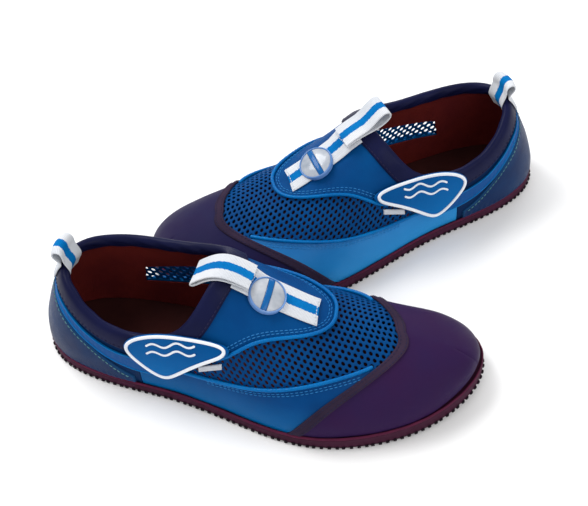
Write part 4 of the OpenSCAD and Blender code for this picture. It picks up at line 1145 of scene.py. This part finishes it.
def collar_ring(s):
    """Places round the collar, at a share of the way from the rim to the tape's edge."""
    return lambda x: two(collar_place(11.999 * x, 0 * x + s))


def build_panels(shoe):
    """Every sewn panel: name, places, heights, steps along and across, material, slot, and what differs."""
    wall, lining, overlay = (0.0, PANEL_T), (LINING_LOW, LINING_HIGH), (OVERLAY_LOW - 0.2, OVERLAY_HIGH)
    # the left shoe's outer panel takes the lit copy of the side film: painted light
    film = "side" if shoe.side == "right" else "side_painted_lit"
    soft = {"pucker": 0.1}
    for name, place, heights, steps, mat, slot, more in (
            ("rear_quarter", quarter_at(0.0), wall, (170, 34), "quarter", "heel_fabric", {}),
            ("heel_lining", quarter_at(0.04), lining, (130, 24), "lining", "lining", soft),
            ("heel_counter", counter_at, (OVERLAY_LOW - 0.4, OVERLAY_HIGH), (190, 26), "counter",
             "counter_film", {}),
            ("side_panel_outer", side_outer_at, wall, (150, 30), film, "side_film", {}),
            ("side_panel_inner", side_inner_at, wall, (140, 30), "side", "side_film", {}),
            ("side_lining_outer", part_of(side_outer_at, 0.0, 0.98), lining, (90, 14), "lining", "lining",
             {"pucker": 0.1, "replaces": ["side_lining"]}),
            ("side_lining_inner", part_of(side_inner_at, 0.0, 0.98), lining, (90, 14), "lining", "lining",
             {"pucker": 0.1, "replaces": ()}),
            ("instep_panel", instep_at, wall, (240, 30), "instep", "instep_neoprene", {}),
            ("instep_lining", part_of(instep_at, 0.04, 1.0), lining, (150, 18), "lining", "lining", soft),
            ("toe_band", band_at, overlay, (200, 6), "band", "toe_edge", {"pucker": 0.0}),
            ("side_strap", strap_at, overlay, (120, 8), "strap", "strap_film", {"pucker": 0.08}),
            ("loop_patch", patch_at, (OVERLAY_LOW, OVERLAY_HIGH - 0.1), (24, 10), "hook", "hook_tape",
             {"pucker": 0.0, "r": 0.5})):
        panel(shoe, name, place, *heights, *steps, M[mat], slot, **more)


def build_pipings(shoe):
    piping(shoe, "instep_piping", [along(INSTEP_SEAM, 2.6, 12.7)], OVERLAY_LOW + PIPING_R - 0.5, M["piping"],
           "piping")
    vents = [along(VENT_SEAM, 1, VENT_OUTER_END + 0.1), along(VENT_SEAM, VENT_INNER_START - 0.1, 13.9)]
    piping(shoe, "vent_piping", vents, OVERLAY_LOW + PIPING_R - 0.7, M["piping"], "piping")
    straps = [along(STRAP_TOP, 0.1, 4.9), along(STRAP_FOOT, 0.1, 4.9)]
    piping(shoe, "strap_piping", straps, OVERLAY_HIGH - 0.1, M["piping"], "strap_film", r=0.5, replaces=())


def build_stitches(shoe):
    seams = ((INSTEP_SEAM, 2.6, 13.4, 1), (VENT_SEAM, 2.2, 5.7, -1), (VENT_SEAM, 10.6, 13.6, -1))
    double = [beside(rows, a, b, way * mm) for rows, a, b, way in seams for mm in (2.7, 4.2)]
    band = [lambda x: band_at(x, 0.22), lambda x: band_at(x, 0.78)]
    for name, places, h, mat, slot, pitch, length, width in (
            ("seam_stitches", double, PANEL_T + 0.05, "thread_blue", "piping", 2.9, 2.1, 0.3),
            ("counter_stitches", [beside(COUNTER_EDGE, 0.25, 11.75, -1.6)], OVERLAY_HIGH + 0.05, "thread_pale",
             "counter_film", 3.0, 2.2, 0.3),
            ("band_stitches", band, OVERLAY_HIGH, "thread_dark", "toe_edge", 2.6, 1.9, 0.28),
            ("collar_stitches", [collar_ring(0.88)], OVERLAY_HIGH + 0.2, "thread_dark", "binding",
             3.0, 2.2, 0.28)):
        lines = [line_on(shoe, place, 400, h) for place in places]
        stitches(shoe, name, lines, M[mat], slot, pitch, length, width)


for shoe in (Shoe("right"), Shoe("left")):
    for build in (build_sole, build_panels, build_mesh_vent, build_toe_cap, build_binding, build_pipings,
                  build_stitches, build_emblem, build_badge, build_webbing, build_loops):
        build(shoe)

# ---------------------------------------------------------------- stage
floor_mesh = bpy.data.meshes.new("floor")
floor_mesh.from_pydata([(-3, -3, 0), (3, -3, 0), (3, 3, 0), (-3, 3, 0)], [], [(0, 1, 2, 3)])
floor = bpy.data.objects.new("floor", floor_mesh)
bpy.context.scene.collection.objects.link(floor)
floor_mat = bpy.data.materials.new("floor")
floor_mat.use_nodes = True
floor_mat.node_tree.nodes["Principled BSDF"].inputs["Base Color"].default_value = (0.93, 0.93, 0.93, 1)
floor_mat.node_tree.nodes["Principled BSDF"].inputs["Roughness"].default_value = 0.9
floor_mesh.materials.append(floor_mat)
floor.location.z = -0.0002

world = bpy.data.worlds.new("world")
bpy.context.scene.world = world
world.use_nodes = True
world.node_tree.nodes["Background"].inputs[0].default_value = (1.0, 1.0, 1.0, 1)
world.node_tree.nodes["Background"].inputs[1].default_value = 0.7


def area(name, at, to, size, power):
    data = bpy.data.lights.new(name, "AREA")
    data.shape = "RECTANGLE"
    data.size, data.size_y = size
    data.energy = power
    o = bpy.data.objects.new(name, data)
    bpy.context.scene.collection.objects.link(o)
    o.location = at
    o.rotation_euler = (Vector(to) - Vector(at)).to_track_quat("-Z", "Y").to_euler()


area("key", (-0.7, 0.5, 1.3), (0, 0, 0), (0.9, 0.7), 16)
area("fill", (0.8, -1.0, 1.0), (0, 0, 0.03), (1.2, 0.9), 7)
area("back", (0.4, 1.3, 0.8), (0, 0, 0.05), (1.2, 0.5), 7)
bpy.context.scene.view_settings.view_transform = "Standard"
